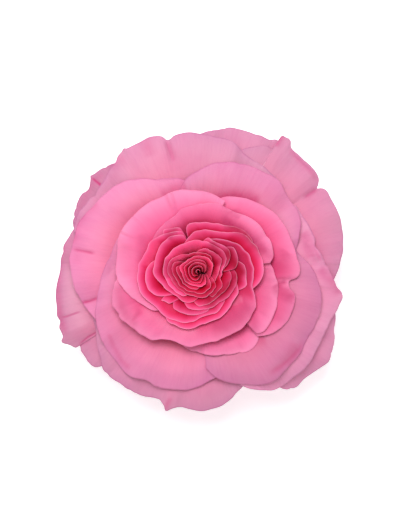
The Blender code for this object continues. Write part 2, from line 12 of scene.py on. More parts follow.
import bpy
import numpy as np
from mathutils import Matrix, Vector
from mathutils.bvhtree import BVHTree


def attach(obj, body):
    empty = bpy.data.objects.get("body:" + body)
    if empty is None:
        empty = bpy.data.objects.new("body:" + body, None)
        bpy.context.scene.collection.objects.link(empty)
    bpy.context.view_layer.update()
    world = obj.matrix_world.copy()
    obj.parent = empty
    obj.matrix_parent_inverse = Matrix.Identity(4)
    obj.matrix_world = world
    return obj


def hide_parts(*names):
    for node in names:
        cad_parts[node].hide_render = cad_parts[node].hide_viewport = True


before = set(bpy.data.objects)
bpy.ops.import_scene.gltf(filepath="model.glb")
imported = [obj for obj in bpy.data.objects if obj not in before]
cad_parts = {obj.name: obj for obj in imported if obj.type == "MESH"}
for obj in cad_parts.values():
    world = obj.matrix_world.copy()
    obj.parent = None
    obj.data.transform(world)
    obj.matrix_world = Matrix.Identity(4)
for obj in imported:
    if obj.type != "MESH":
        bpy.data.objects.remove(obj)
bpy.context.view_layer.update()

# The flower's axis from the middle of the whole bloom, and how high the petals' lowest feet stand.
AXIS_AT = (0.05, 0.05, 18.6)
RECEPTACLE_GAP = 0.35
# Steps along the margin and from claw to margin.
GRIDS = {"outer": (150, 50), "second": (150, 50), "third": (124, 46), "heart": (0, 38)}
UPRIGHT_STEP = 0.45
THICKNESS = {"outer": 0.24, "second": 0.24, "third": 0.24, "heart": 0.22}

# One layout unit is 0.4 mm. The layout is the flower as seen from straight above,
# x to the right and y downwards; the flower's axis stands at (199, 271).
UNIT = 0.4
AXIS = (199.0, 271.0)

# Nested sheets that every petal lies on, from the axis (level 0) to the outermost
# (level 1.05). Each row: level, radius and height of the foot on the receptacle,
# radius and height of the far end, rise in degrees at the foot and at the far end,
# and how far each of these two slopes carries, as a share of the span. Millimetres.
SHEETS = [
    (0.00, 0.0, 7.4, 0.0, 24.0, 90.0, 90.0, 0.40, 0.30),
    (0.15, 2.9, 7.2, 9.6, 25.4, 92.0, 44.0, 0.50, 0.16),
    (0.30, 5.3, 6.5, 18.2, 27.6, 90.0, 30.0, 0.54, 0.20),
    (0.45, 7.1, 5.3, 27.0, 29.6, 84.0, 18.0, 0.54, 0.26),
    (0.60, 8.0, 3.8, 38.5, 28.0, 71.0, 0.0, 0.54, 0.34),
    (0.75, 8.6, 2.2, 52.0, 20.5, 60.0, -22.0, 0.50, 0.36),
    (0.90, 9.1, 0.6, 60.0, 13.0, 51.0, -31.0, 0.46, 0.38),
    (1.05, 9.5, -1.0, 62.5, 4.0, 42.0, -36.0, 0.42, 0.38),
]

# The petals, outermost first. Each one's margin is a line on the layout.
PETALS = {
    "petal_outer_1": dict(level=1, curl=0.006, margin=[
        (330, 270), (337, 290), (336, 309), (336, 322), (334, 332), (335, 340), (333, 350),
        (329.6, 361.6), (322, 367.2), (313, 373.6), (304.4, 380.4), (296, 387.2), (288, 389.6),
        (279, 387.4), (268, 380),
    ]),
    "petal_outer_2": dict(level=0.985, curl=0.006, margin=[
        (84, 222), (75, 228), (69, 236), (62.6, 249), (60.6, 259), (59, 275), (56, 290), (55, 300),
        (56.8, 310), (57.3, 316.5), (60, 321.6), (59, 328), (62, 337), (61, 342), (69, 345.2),
        (75.5, 347.6), (79.2, 345.4), (80.6, 351.6), (84.6, 357), (88, 362), (95, 367), (103, 366),
    ]),
    "petal_outer_3": dict(level=0.968, curl=0.006, margin=[
        (178, 150), (190, 140), (203, 133.2), (216, 129.4), (230, 127.4), (245, 130.6), (260, 135),
        (270, 140), (277, 140), (290, 150), (298, 162),
    ]),
    "petal_outer_4": dict(level=0.952, curl=0.006, margin=[
        (126, 166), (116, 163), (108, 165), (100, 170), (93, 174.6), (90.5, 176), (90.7, 178.6),
        (89.6, 184), (87.6, 189.4), (82, 194), (78, 202), (74, 213), (73, 222), (75, 232),
    ]),
    "petal_outer_5": dict(level=0.935, curl=0.008, margin=[
        (232, 156), (243, 149), (255, 147), (265, 146), (274.4, 147.8), (277.4, 142.8),
        (280.4, 137.4), (282.4, 135.3), (285, 136.6), (290, 140), (291.4, 147.4), (300, 156),
        (309.5, 165.3), (317.3, 174), (319.4, 180), (319.4, 185.2), (317, 188.4), (321.5, 188.6),
        (326, 191), (330, 197), (337, 209), (340, 220), (343, 235), (343, 248), (341, 258),
        (338, 270), (333, 281),
    ]),
    "petal_outer_6": dict(level=0.918, curl=0.008, margin=[
        (92, 312), (97, 335), (99, 352), (101.5, 363), (104.6, 370.6), (109, 375.2), (120, 383.4),
        (130, 390), (145, 396), (158, 399), (164, 405), (166, 410), (172, 408), (180, 407),
        (190, 409), (200, 410), (212, 409), (223, 405), (230.4, 398.4), (236, 392.4), (241, 387.8),
        (245, 382),
    ]),
    "petal_outer_7": dict(level=0.9, curl=0.008, margin=[
        (74, 232), (78, 215), (90, 200), (100, 187), (108, 174), (116.3, 162), (117.6, 157),
        (121, 152.3), (124.3, 148.4), (126.5, 149.2), (131, 147.8), (140, 143), (150, 137),
        (161, 137), (168, 141), (175, 136), (184, 133), (192, 133.2), (203, 135), (215, 137),
        (232, 142), (240, 150), (252, 160), (265, 169), (278, 181), (283, 192),
    ]),
    "petal_outer_8": dict(level=0.88, curl=0.008, margin=[
        (295, 206), (302, 217), (306, 222), (311, 231), (314, 240), (314, 246), (319, 252),
        (325, 264), (331, 276), (336, 286), (341, 291), (342, 297), (338.8, 304), (335.6, 310.4),
        (328, 325), (322, 337), (316, 350), (310, 361), (302, 370), (292, 378), (283, 385),
        (271, 389.4), (262, 389.6), (250, 388.2), (240, 384),
    ]),
    "petal_second_1": dict(level=0.835, curl=0.012, margin=[
        (190, 184), (180, 180), (160, 180), (140, 180), (127, 182), (116, 187), (105, 196),
        (95, 206), (85, 217), (78, 228), (75, 240), (73, 250), (71, 260), (72, 270), (74, 280),
        (77, 290), (81, 297), (84, 303), (90, 311), (100, 322),
    ]),
    "petal_second_2": dict(level=0.81, curl=0.012, margin=[
        (176, 197), (183, 185), (190, 177), (200, 171), (210, 166), (222, 164), (237, 164),
        (250, 168), (262, 173), (273, 178), (279, 184), (284, 194), (291, 204), (297, 213),
        (299, 224), (298, 236), (294, 252),
    ]),
    "petal_second_3": dict(level=0.785, curl=0.012, margin=[
        (130, 226), (124, 232), (118, 242), (112, 255), (107, 266), (103, 278), (100, 292),
        (98, 305), (97, 316), (99, 327), (104, 340), (110, 351), (119, 362), (132, 375),
        (148, 379), (158, 385), (170, 387), (182, 388), (195, 386), (206, 381), (215, 376),
        (230, 368),
    ]),
    "petal_second_4": dict(level=0.76, curl=0.012, margin=[
        (288, 244), (300, 257), (308, 266), (314, 275), (318, 287), (319, 300), (318, 312),
        (314, 323), (308, 333), (303, 342), (300, 350), (285, 367), (275, 378), (262, 382),
        (250, 383), (238, 382), (225, 379), (215, 375), (206, 366),
    ]),
    "petal_third_1": dict(level=0.7, curl=0.012, margin=[
        (184, 344), (191, 348), (203, 351), (217, 353), (235, 351), (250, 347), (257, 337),
        (255, 326),
    ]),
    "petal_third_2": dict(level=0.67, curl=0.012, margin=[
        (212, 204), (225, 199), (240, 200), (250, 203), (262, 208), (270, 213), (278, 222),
        (285, 232), (290, 245), (293, 255), (296, 264), (297, 272), (294, 277), (286, 281),
        (287, 288), (292, 293), (292, 300), (288, 312), (280, 325), (268, 332), (256, 334),
    ]),
    "petal_third_5": dict(level=0.6, tilt=-0.0006, curl=0.012, margin=[
        (254, 241), (258, 250), (262, 255), (265, 258), (268, 264), (271, 269), (273, 275),
        (275, 282), (275.5, 290), (275, 300), (273.5, 308), (270, 316), (266, 323), (261, 329),
        (255, 331), (250, 326),
    ]),
    "petal_third_4": dict(top=0.985, foot=0.12, tuck=(22, 26), dip=0.22, margin=[
        (205, 233.6), (210, 233.9), (214, 234.9), (219, 236.5), (225, 239), (230, 241.4),
        (235, 243.9), (240, 247), (244, 250.1), (247.5, 253), (250.2, 256.8), (252, 263),
        (253.2, 270), (253.4, 277), (252.9, 284), (253.4, 291), (254.8, 298), (255.2, 304),
        (254, 309.5), (251.5, 315.5), (246.5, 322.3), (239.5, 329), (230, 334.5), (218, 339.5),
        (205, 342.6), (191.5, 346), (185, 344.6), (175, 341.2), (165, 338.6), (155, 338.4),
        (148, 337.8), (141, 334.6), (135, 329), (130, 322.8), (124, 321), (119, 316.5),
        (115.8, 310), (113.6, 303), (113.2, 295), (113.9, 287.5), (115.6, 281), (116.8, 274),
        (117.2, 267), (117.6, 259),
    ]),
    "petal_third_3": dict(level=0.52, tilt=-0.0006, curl=0.01, margin=[
        (224, 203), (216, 198), (205, 194), (190, 192), (178, 193), (165, 198), (150, 205),
        (138, 215), (128, 226), (122, 237), (120, 250), (119, 262), (119, 272), (121, 282),
        (132, 295), (142, 302), (151, 307.6), (156, 309.3), (161, 308.6), (165, 306),
    ]),
    "petal_third_6": dict(level=0.497, tilt=-0.0006, curl=0.01, margin=[
        (152, 246), (156, 238), (160, 231), (164, 226), (170, 221), (176, 217), (182, 211),
        (188, 208.5), (196, 206.5), (204, 205.5), (212, 205.5), (220, 207), (226, 210), (232, 213),
        (240, 215.5), (248, 219.5), (255, 224), (260, 229), (264, 235), (268, 241), (270, 248),
        (271, 257), (268, 263),
    ]),
    "petal_heart_01": dict(top=0.985, tuck=(2, 24), dip=0.2, margin=[
        (187.4, 235.2), (186.4, 231), (186.3, 227.6), (189.5, 224.2), (197, 222.4), (208, 222.8),
        (220, 224.3), (231, 226.3), (240, 229.3), (247.5, 233.7), (254, 238.8), (259.5, 245),
        (263.5, 252),
    ]),
    "petal_heart_02": dict(top=0.975, tuck=(10, 3), dip=0.2, margin=[
        (156.4, 235), (158.9, 232.9), (162.4, 231), (167.6, 228.6), (174, 227.9), (179, 227.4),
        (183, 228.4),
    ]),
    "petal_heart_03": dict(top=1, tuck=(26, 36), dip=0.3, margin=[
        (171, 246.6), (176, 243), (181, 240.6), (185.5, 238.9), (190, 236.2), (195, 233),
        (200.5, 230.9), (210, 230.8), (222, 232), (232, 232.6), (240, 234), (245, 236.5),
        (250, 240.5), (255, 245.5), (257.3, 250), (259, 255), (260.5, 260), (261.8, 266),
        (263, 272), (263.8, 278), (263.4, 284), (262.3, 291), (261.3, 297.5), (260.5, 304),
    ]),
    "petal_heart_04": dict(top=1, tuck=(2, 28), dip=0.22, margin=[
        (184, 231.4), (180, 231.3), (172, 232.8), (165, 234.2), (160, 236.7), (155.5, 240.3),
        (150.3, 245.5), (146.3, 252.5), (141.6, 261.5), (139, 269), (138.4, 277), (139.3, 285.5),
        (142, 292), (145.3, 296.3), (150, 300.8), (154.5, 304.8), (160, 309.8), (165, 314.2),
        (170, 317.6), (175, 320), (182, 321.4), (190, 320.8), (196, 319), (203, 316.3), (209, 314),
        (216, 311.3), (222, 308.1), (227, 304.2), (231, 299.6), (234.3, 294.5),
    ]),
    "petal_heart_05": dict(top=0.99, tuck=(26, 16), dip=0.26, margin=[
        (152, 308.2), (157, 313), (163, 317.8), (170, 322), (176, 325), (182, 327.3), (188, 327.8),
        (196, 326), (204, 323.9), (212, 321), (219, 317.3), (225, 312), (229.5, 306.5), (233, 301),
        (236.3, 295.5), (239.6, 289.5), (242.6, 283.5), (243.9, 279),
    ]),
    "petal_heart_06": dict(top=0.97, tuck=(22, 14), dip=0.3, margin=[
        (153.4, 249), (150, 254.8), (146.6, 262.2), (145, 270), (145.3, 278), (146.6, 285.3),
        (149.3, 290.6), (155, 294.6), (162, 296), (168, 298.6), (173.5, 302),
    ]),
    "petal_heart_07": dict(top=0.975, tuck=(4, 8), dip=0.3, margin=[
        (158, 298.9), (161.5, 300), (165.5, 302.4), (170, 304.8), (176, 306.6),
    ]),
    "petal_heart_08": dict(top=0.98, tuck=(10, 10), dip=0.3, margin=[
        (165, 306), (170.5, 308.2), (176, 310.2), (182, 313.2), (190, 314.9), (198, 314.1),
        (205, 312.3), (211.4, 309.8), (215.8, 307.6),
    ]),
    "petal_heart_09": dict(top=0.985, tuck=(12, 28), dip=0.3, margin=[
        (177.5, 304), (182, 306.2), (188, 308.2), (195, 309.3), (203, 309), (210, 307.4),
        (217, 304.6), (223, 300.9), (228.5, 296.2), (233, 290.6), (236.6, 285), (239.5, 279.6),
        (241.5, 274), (242.4, 268), (242, 262),
    ]),
    "petal_heart_10": dict(top=0.975, tuck=(16, 20), dip=0.42, margin=[
        (238.6, 251.2), (241.2, 254.2), (243, 258.4), (244.7, 264), (246, 270), (246.9, 276),
        (247.2, 281.5), (247.9, 286.5), (248.2, 291), (247.2, 297), (244.8, 303),
    ]),
    "petal_heart_11": dict(top=0.975, tuck=(10, 5), dip=0.2, margin=[
        (225.5, 242.3), (229, 244.3), (232.3, 246.9), (235.2, 250.3), (237.4, 254), (238, 259),
        (237, 265), (235, 269), (232.3, 271.4),
    ]),
    "petal_heart_12": dict(top=0.99, tuck=(2, 16), dip=0.3, margin=[
        (185.5, 236.2), (183.5, 234.5), (179.5, 234.6), (174.5, 235.6), (169.5, 237.5),
        (165.3, 241.2), (161.3, 246.2), (158, 251.2), (155.3, 257.5), (153.8, 264), (153.6, 270.5),
        (155.2, 276.7), (160, 281.6), (166, 287.6), (172, 293.2), (177, 297.6), (182, 300.6),
        (187, 302.2), (194, 302.6), (200, 302), (204.5, 300.8),
    ]),
    "petal_heart_13": dict(top=0.98, tuck=(14, 24), dip=0.3, margin=[
        (186.5, 305.2), (193, 305.9), (200, 305.6), (207, 304), (213.5, 301), (219, 297),
        (224, 292), (228.5, 286), (232.2, 280.6), (235.5, 275.6), (238, 271), (239.5, 266),
    ]),
    "petal_heart_14": dict(top=0.975, tuck=(12, 20), dip=0.3, margin=[
        (197, 238.2), (203, 237.8), (209, 238.5), (215, 240.5), (220, 242.6), (224.5, 245.4),
        (228, 249.2), (230, 254), (230.4, 260), (230.3, 266), (229.8, 271.5), (229.2, 276),
    ]),
    "petal_heart_15": dict(top=0.985, tuck=(34, 14), dip=0.3, margin=[
        (224.6, 286.5), (225.7, 283), (226.2, 277), (226.9, 270.5), (227, 265), (226.7, 259.5),
        (225, 253.7), (221, 248.9), (214.5, 244.8), (207, 242.6), (200, 241), (194, 240.5),
        (188.5, 241.1), (183, 243.2), (176.5, 247.1), (170.6, 252), (166, 257.7), (163.7, 263.5),
        (163.6, 270), (165, 277), (168, 283.2), (172, 288.6), (177, 292.8), (182.5, 296.2),
        (188, 298.4), (193, 299.4),
    ]),
    "petal_heart_16": dict(top=0.97, tuck=(6, 16), dip=0.3, margin=[
        (208, 300.6), (212.5, 298.2), (217, 294.3), (220.5, 289.5), (222.3, 284.5), (223, 279.5),
        (223.8, 274.5), (223.9, 270),
    ]),
    "petal_heart_17": dict(top=0.97, tuck=(14, 24), dip=0.3, margin=[
        (190, 249), (197, 247.6), (204, 248), (210.5, 250.3), (217, 253.8), (221.2, 258.2),
        (222, 263.5), (221.4, 269), (220.4, 274), (219.8, 279), (219.6, 284), (218.3, 289),
    ]),
    "petal_heart_18": dict(top=0.98, tuck=(24, 10), dip=0.35, margin=[
        (218, 272), (217.7, 266), (215.6, 260.8), (212, 256.5), (206, 253.3), (199, 252.2),
        (192, 253), (187, 254), (180.5, 254.7), (176, 256.6), (172, 259.6), (169, 263),
        (167.6, 267.5), (168, 273), (170.6, 279.5), (175, 285.2), (181, 290.3), (187, 294),
        (194, 296.6), (202, 297.2), (208.5, 295.6), (213, 292.2), (216.2, 287.8), (217.1, 283),
        (217.2, 278),
    ]),
    "petal_heart_19": dict(top=0.97, tuck=(10, 12), dip=0.35, margin=[
        (183, 257.8), (178.5, 259.4), (174.8, 262.6), (172.4, 267), (172, 271.5), (173.5, 277),
        (177, 282.5), (182, 287.3), (188, 290.9), (194.5, 293.3), (201, 293.8), (206.5, 292.3),
        (210.1, 288.8), (212, 284), (211.9, 279), (211.6, 275.5),
    ]),
    "petal_heart_20": dict(top=0.96, tuck=(8, 10), dip=0.35, margin=[
        (181.2, 261.2), (178.2, 263.6), (176.2, 267.5), (176.2, 272), (178.3, 277.5),
        (182.3, 282.7), (187.5, 287), (193.5, 290), (200, 290.6), (205.3, 288.6),
    ]),
    "petal_heart_21": dict(top=0.97, tuck=(22, 8), dip=0.35, margin=[
        (214.7, 284), (214.8, 278.5), (214.7, 273), (214.2, 267.5), (212.4, 262.3), (208.8, 258),
        (203, 255.9), (196.5, 255.8), (190.8, 257.6), (186, 260.4), (182.2, 263.6), (180, 267.5),
        (180.3, 272.2), (182.5, 277.2), (186.4, 281.8), (191.3, 285.3), (197, 287.2),
        (202.5, 286.6), (206.5, 283.2), (208.6, 277.5),
    ]),
    "petal_heart_22": dict(top=0.955, tuck=(16, 8), dip=0.35, margin=[
        (210.8, 271.5), (210, 266.5), (207.4, 262.4), (203.5, 260), (198.5, 258.9), (193, 259.8),
        (188.6, 262), (185.2, 265), (183.6, 269), (184.2, 273.5), (186.6, 278), (190.6, 281.9),
        (195.4, 284), (200, 283.6), (203.6, 280.8), (205.3, 276.5),
    ]),
    "petal_heart_23": dict(top=0.96, tuck=(10, 8), dip=0.35, margin=[
        (207.8, 274), (208, 270), (206.8, 266), (204, 263.2), (200, 262), (195.5, 262.4),
        (191.3, 264.4), (188.3, 267.2), (187.4, 271), (188.6, 275.3), (191.7, 279), (195.6, 280.9),
        (199.5, 279.8), (202.3, 276.5),
    ]),
    "petal_heart_24": dict(top=0.945, tuck=(8, 5), dip=0.3, margin=[
        (204.6, 272.5), (204.2, 268.8), (202, 266.2), (198.6, 265.2), (194.9, 266.3), (192, 268.6),
        (191, 271.5), (192, 275), (194.6, 277.3), (198, 277),
    ]),
    "petal_heart_25": dict(top=0.93, tuck=(3, 3), dip=0.2, margin=[
        (200.4, 273.2), (200.8, 270.6), (199, 268.8), (196.6, 269.3), (195, 271.2), (195.4, 273.6),
        (197.4, 274.6),
    ]),
}


def _control_table():
    rows = []
    for level, r0, z0, r1, z1, rise0, rise1, h0, h1 in SHEETS:
        span = math.hypot(r1 - r0, z1 - z0)
        a0, a1 = math.radians(rise0), math.radians(rise1)
        rows.append((
            (r0, z0),
            (r0 + h0 * span * math.cos(a0), z0 + h0 * span * math.sin(a0)),
            (r1 - h1 * span * math.cos(a1), z1 - h1 * span * math.sin(a1)),
            (r1, z1),
        ))
    return np.array(rows)  # sheets, 4, 2


_CTRL = _control_table()
_STEP = SHEETS[1][0] - SHEETS[0][0]


def sheet_controls(level):
    """The four guide points of the sheet at each level, blended smoothly between the rows."""
    x = np.clip(np.asarray(level, float) / _STEP, 0, len(SHEETS) - 1 - 1e-9)
    i = np.floor(x).astype(int)
    t = (x - i)[..., None, None]
    n = len(SHEETS) - 1
    p0, p1, p2, p3 = (_CTRL[np.clip(i + k, 0, n)] for k in (-1, 0, 1, 2))
    p0 = np.where((i == 0)[..., None, None], 2 * p1 - p2, p0)
    p3 = np.where((i + 2 > n)[..., None, None], 2 * p2 - p1, p3)
    return 0.5 * (2 * p1 + (p2 - p0) * t + (2 * p0 - 5 * p1 + 4 * p2 - p3) * t**2
                  + (3 * p1 - p0 - 3 * p2 + p3) * t**3)


def sheet(level, v):
    """Radius and height in mm on the sheet at this level, v going from the foot (0) to the far end (1)."""
    c = sheet_controls(level)
    v = np.asarray(v, float)[..., None]
    q = (c[..., 0, :] * (1 - v) ** 3 + 3 * c[..., 1, :] * v * (1 - v) ** 2
         + 3 * c[..., 2, :] * v**2 * (1 - v) + c[..., 3, :] * v**3)
    return q[..., 0], q[..., 1]


def v_at_radius(level, radius):
    """How far along its sheet a margin lies that stands at this radius."""
    vs = np.linspace(0.05, 1.12, 240)
    out = np.empty(len(level))
    for k, (s, r) in enumerate(zip(level, radius)):
        rr, _ = sheet(np.full_like(vs, s), vs)
        out[k] = np.interp(r, rr, vs)
    return out


def level_at_radius(v, radius):
    """Which sheet stands at this radius at v."""
    ss = np.linspace(0.0, 1.05, 420)
    out = np.empty(len(v))
    for k, (a, r) in enumerate(zip(v, radius)):
        rr, _ = sheet(ss, np.full_like(ss, a))
        out[k] = np.interp(r, rr, ss)
    return out


def margin(points, count):
    """A smooth line through the given layout points, as x and y in mm from the axis at count + 1 even steps."""
    p = np.array([((x - AXIS[0]) * UNIT, (AXIS[1] - y) * UNIT) for x, y in points])
    ends = np.vstack([2 * p[0] - p[1], p, 2 * p[-1] - p[-2]])
    line = []
    for i in range(1, len(ends) - 2):
        a, b, c, d = ends[i - 1:i + 3]
        k1, k2, k3 = (max(np.linalg.norm(q), 1e-6) ** 0.5 for q in (b - a, c - b, d - c))
        m1 = (b - a) / k1 - (c - a) / (k1 + k2) + (c - b) / k2
        m2 = (c - b) / k2 - (d - b) / (k2 + k3) + (d - c) / k3
        m1, m2 = m1 * k2, m2 * k2
        t = np.linspace(0, 1, 24, endpoint=False)[:, None]
        line.append(b + m1 * t + (3 * (c - b) - 2 * m1 - m2) * t**2 + (m1 + m2 - 2 * (c - b)) * t**3)
    line = np.vstack(line + [p[-1:]])
    run = np.concatenate([[0], np.cumsum(np.linalg.norm(np.diff(line, axis=0), axis=1))])
    at = np.linspace(0, run[-1], count + 1)
    return np.column_stack([np.interp(at, run, line[:, 0]), np.interp(at, run, line[:, 1])])


def smooth(x, a, b):
    t = np.clip((np.asarray(x, float) - a) / (b - a), 0, 1)
    return t * t * (3 - 2 * t)


def sunk(run, spec):
    """How far the margin sinks along its sheets. It slips under the neighbour over the last part of each end."""
    first, last = (max(length * UNIT, 0.4) for length in spec["tuck"])
    near = np.maximum(np.clip(1 - run / first, 0, 1), np.clip(1 - (run[-1] - run) / last, 0, 1))
    return spec["dip"] * near**1.5


def dips(line, spec):
    return sunk(np.concatenate([[0], np.cumsum(np.linalg.norm(np.diff(line, axis=0), axis=1))]), spec)


def seed_of(name):
    return np.random.default_rng(zlib.crc32(name.encode()))


def waves(rng, s, lengths, sizes):
    """A smooth irregular line: one sine for each wavelength, with its own phase and a slow swell."""
    out = np.zeros_like(s)
    span = max(float(s[-1] - s[0]), 1e-6)
    for length, size in zip(lengths, sizes):
        phase, swell = rng.uniform(0, 2 * math.pi, 2)
        out += size * np.sin(2 * math.pi * s / length + phase) * (0.65 + 0.35 * np.sin(2 * math.pi * s / span * 1.7 + swell))
    return out


def kind_of(name):
    return name.split("_")[1]


def softened(line, width):
    """The line with its corners eased over this many millimetres, its ends kept."""
    step = np.linalg.norm(np.diff(line, axis=0), axis=1).mean()
    n = max(int(round(width / step)), 1)
    share = 1 - np.abs(np.arange(-n, n + 1)) / (n + 1)
    padded = np.vstack([2 * line[0] - line[n:0:-1], line, 2 * line[-1] - line[-2:-n - 2:-1]])
    return np.column_stack([np.convolve(padded[:, c], share / share.sum(), "valid") for c in (0, 1)])


def fine_margin(name, spec, count):
    """The petal's margin with small natural ripples that the layout's points are too few for."""
    m = margin(spec["margin"], count)
    if "tuck" in spec:
        m = softened(m, 1.6)
    rng = seed_of(name + " margin")
    step = np.linalg.norm(np.diff(m, axis=0), axis=1)
    s = np.concatenate([[0], np.cumsum(step)])
    t = np.gradient(m, axis=0)
    t /= np.linalg.norm(t, axis=1, keepdims=True)
    out = np.column_stack([t[:, 1], -t[:, 0]])
    outside = 1.0 if (out * m).sum() > 0 else -1.0
    kind = kind_of(name)
    if kind == "heart":
        d = waves(rng, s, (8.1, 3.7), (0.06, 0.018))
    else:
        size = {"outer": 1.0, "second": 0.8, "third": 0.7}[kind]
        d = waves(rng, s, (14.3, 6.7, 2.3), (0.24 * size, 0.10 * size, 0.02 * size))
        # A few nicks.
        for _ in range(3):
            at, deep, wide = rng.uniform(0.12, 0.88) * s[-1], rng.uniform(0.15, 0.5) * size, rng.uniform(0.5, 1.1)
            d -= deep * np.exp(-np.abs((s - at) / wide) ** 1.4) * outside
    w = np.linspace(-1, 1, count + 1)
    return m + out * (d * (1 - smooth(np.abs(w), 0.8, 1.0)))[:, None], s


def spread_petal(name, spec, nu, ng):
    """A petal that opens outwards. Its margin is fixed by the layout, and it narrows to a claw at its foot."""
    m, run = fine_margin(name, spec, nu)
    radius = np.hypot(m[:, 0], m[:, 1])
    angle = np.unwrap(np.arctan2(m[:, 1], m[:, 0]))
    lo, hi = angle.min(), angle.max()
    centre = 0.5 * (lo + hi)
    w = np.linspace(-1, 1, nu + 1) * (1 if angle[-1] > angle[0] else -1)
    foot = centre + math.radians(spec.get("claw", 15.0)) * w
    tilt = spec.get("tilt", 0.0)
    level_of = lambda a: spec["level"] + tilt * np.degrees(a - centre)
    v_rim = v_at_radius(level_of(angle), radius)
    g = np.linspace(0, 1, ng + 1) ** 0.72
    widen = np.sin(0.5 * np.pi * np.clip(g / 0.62, 0, 1)) ** 1.15
    a = foot[:, None] + (angle - foot)[:, None] * widen[None, :]
    v = v_rim[:, None] * g[None, :]
    level = level_of(a)
    curl = spec.get("curl", 0.0)
    level = level + curl * smooth(g, 0.80, 1.0)[None, :] ** 1.5
    r, z = sheet(level, v)
    return np.stack([r * np.cos(a), r * np.sin(a), z], axis=-1), w, g, run


def upright_petal(name, spec, nu, ng):
    """A petal that stands up in the middle. Below its margin it keeps to its own line through the sheets."""
    m, run = fine_margin(name, spec, nu)
    w = np.linspace(-1, 1, nu + 1)
    rng = seed_of(name + " rim")
    v_rim = spec["top"] - dips(m, spec)
    v_rim = v_rim + waves(rng, run, (12.0, 5.3), (0.012, 0.005)) * (1 - smooth(np.abs(w), 0.7, 1.0))
    radius = np.hypot(m[:, 0], m[:, 1])
    level = level_at_radius(np.full(nu + 1, 0.985), radius)
    angle = np.unwrap(np.arctan2(m[:, 1], m[:, 0]))
    g = np.linspace(0, 1, ng + 1) ** 0.72
    foot = spec.get("foot", 0.10)
    widen = foot + (1 - foot) * smooth(g, -0.25, 0.70)
    widen = widen / widen[-1]
    wg = w[:, None] * widen[None, :]
    s = np.interp(wg, w, level)
    a = np.interp(wg, w, angle)
    flare = spec.get("flare", 0.010)
    v = v_rim[:, None] * g[None, :]
    s = s - flare * (1 - smooth(v, 0.85, 0.985)) * np.clip(s / 0.1, 0, 1)
    r, z = sheet(np.maximum(s, 0.0), v)
    return np.stack([r * np.cos(a), r * np.sin(a), z], axis=-1), w, g, run


def normals_of(grid):
    """Unit normals, on the side that looks inwards and up."""
    n = np.cross(np.gradient(grid, axis=0), np.gradient(grid, axis=1))
    n /= np.maximum(np.linalg.norm(n, axis=2, keepdims=True), 1e-9)
    mid = grid[grid.shape[0] // 2, grid.shape[1] // 2]
    towards = np.array([-mid[0], -mid[1], 25.0])
    return n if (n[grid.shape[0] // 2, grid.shape[1] // 2] * towards).sum() > 0 else -n


def polyline_distance(xy, line):
    """Distance from each point to a layout line, and how far along the line (0 to 1) the nearest place is."""
    p = np.array([((x - AXIS[0]) * UNIT, (AXIS[1] - y) * UNIT) for x, y in line])
    seg = np.linalg.norm(np.diff(p, axis=0), axis=1)
    total = seg.sum()
    best = np.full(xy.shape[:2], 1e9)
    where = np.zeros(xy.shape[:2])
    run = 0.0
    for a, b, length in zip(p[:-1], p[1:], seg):
        t = np.clip(((xy - a) @ (b - a)) / length**2, 0, 1)
        d = np.linalg.norm(xy - (a + t[..., None] * (b - a)), axis=-1)
        near = d < best
        best = np.where(near, d, best)
        where = np.where(near, (run + t * length) / total, where)
        run += length
    return best, where


def stroke(xy, line, width, ends=0.25):
    """1 on a layout line, falling to 0 beside it, and fading over its ends."""
    d, t = polyline_distance(xy, line)
    return np.exp(-(d / width) ** 2) * smooth(t, 0, ends) * (1 - smooth(t, 1 - ends, 1))


def coarse_bvh(grids, but):
    points, faces, start = [], [], 0
    for name, grid in grids.items():
        if name == but:
            continue
        n, k = grid.shape[:2]
        points.append(grid.reshape(-1, 3))
        index = start + np.arange(n * k).reshape(n, k)
        faces.append(np.stack([index[:-1, :-1], index[1:, :-1], index[1:, 1:], index[:-1, 1:]], axis=-1).reshape(-1, 4))
        start += n * k
    return BVHTree.FromPolygons(np.concatenate(points).tolist(), np.concatenate(faces).tolist())


def thinned(grid, rows, columns):
    i = np.unique(np.linspace(0, grid.shape[0] - 1, rows).round().astype(int))
    j = np.unique(np.linspace(0, grid.shape[1] - 1, columns).round().astype(int))
    return grid[np.ix_(i, j)], i, j


def clearances(grids, reach=4.0):
    """How far each petal may move along its normal, towards either side, before it meets a neighbour."""
    thin = {name: thinned(grid, 41, 15) for name, grid in grids.items()}
    coarse = {name: t[0] for name, t in thin.items()}
    found = {}
    for name, grid in grids.items():
        bvh = coarse_bvh(coarse, name)
        points, i, j = thin[name]
        normal = normals_of(grid)[np.ix_(i, j)]
        sides = []
        for sign in (1, -1):
            free = np.full(points.shape[:2], reach)
            for a in range(points.shape[0]):
                for b in range(points.shape[1]):
                    hit = bvh.ray_cast(Vector(points[a, b]), Vector(sign * normal[a, b]), reach)
                    if hit[0] is not None:
                        free[a, b] = hit[3]
            low = free.copy()
            for da in (-1, 0, 1):
                for db in (-1, 0, 1):
                    low = np.minimum(low, np.roll(np.roll(free, da, 0), db, 1))
            padded = np.pad(low, 1, mode="edge")
            low = sum(padded[1 + da:1 + da + low.shape[0], 1 + db:1 + db + low.shape[1]]
                      for da in (-1, 0, 1) for db in (-1, 0, 1)) / 9
            fine_i = np.arange(grid.shape[0])
            fine_j = np.arange(grid.shape[1])
            rows = np.stack([np.interp(fine_j, j, row) for row in low])
            sides.append(np.stack([np.interp(fine_i, i, rows[:, c]) for c in range(len(fine_j))], axis=1))
        found[name] = sides
    return found


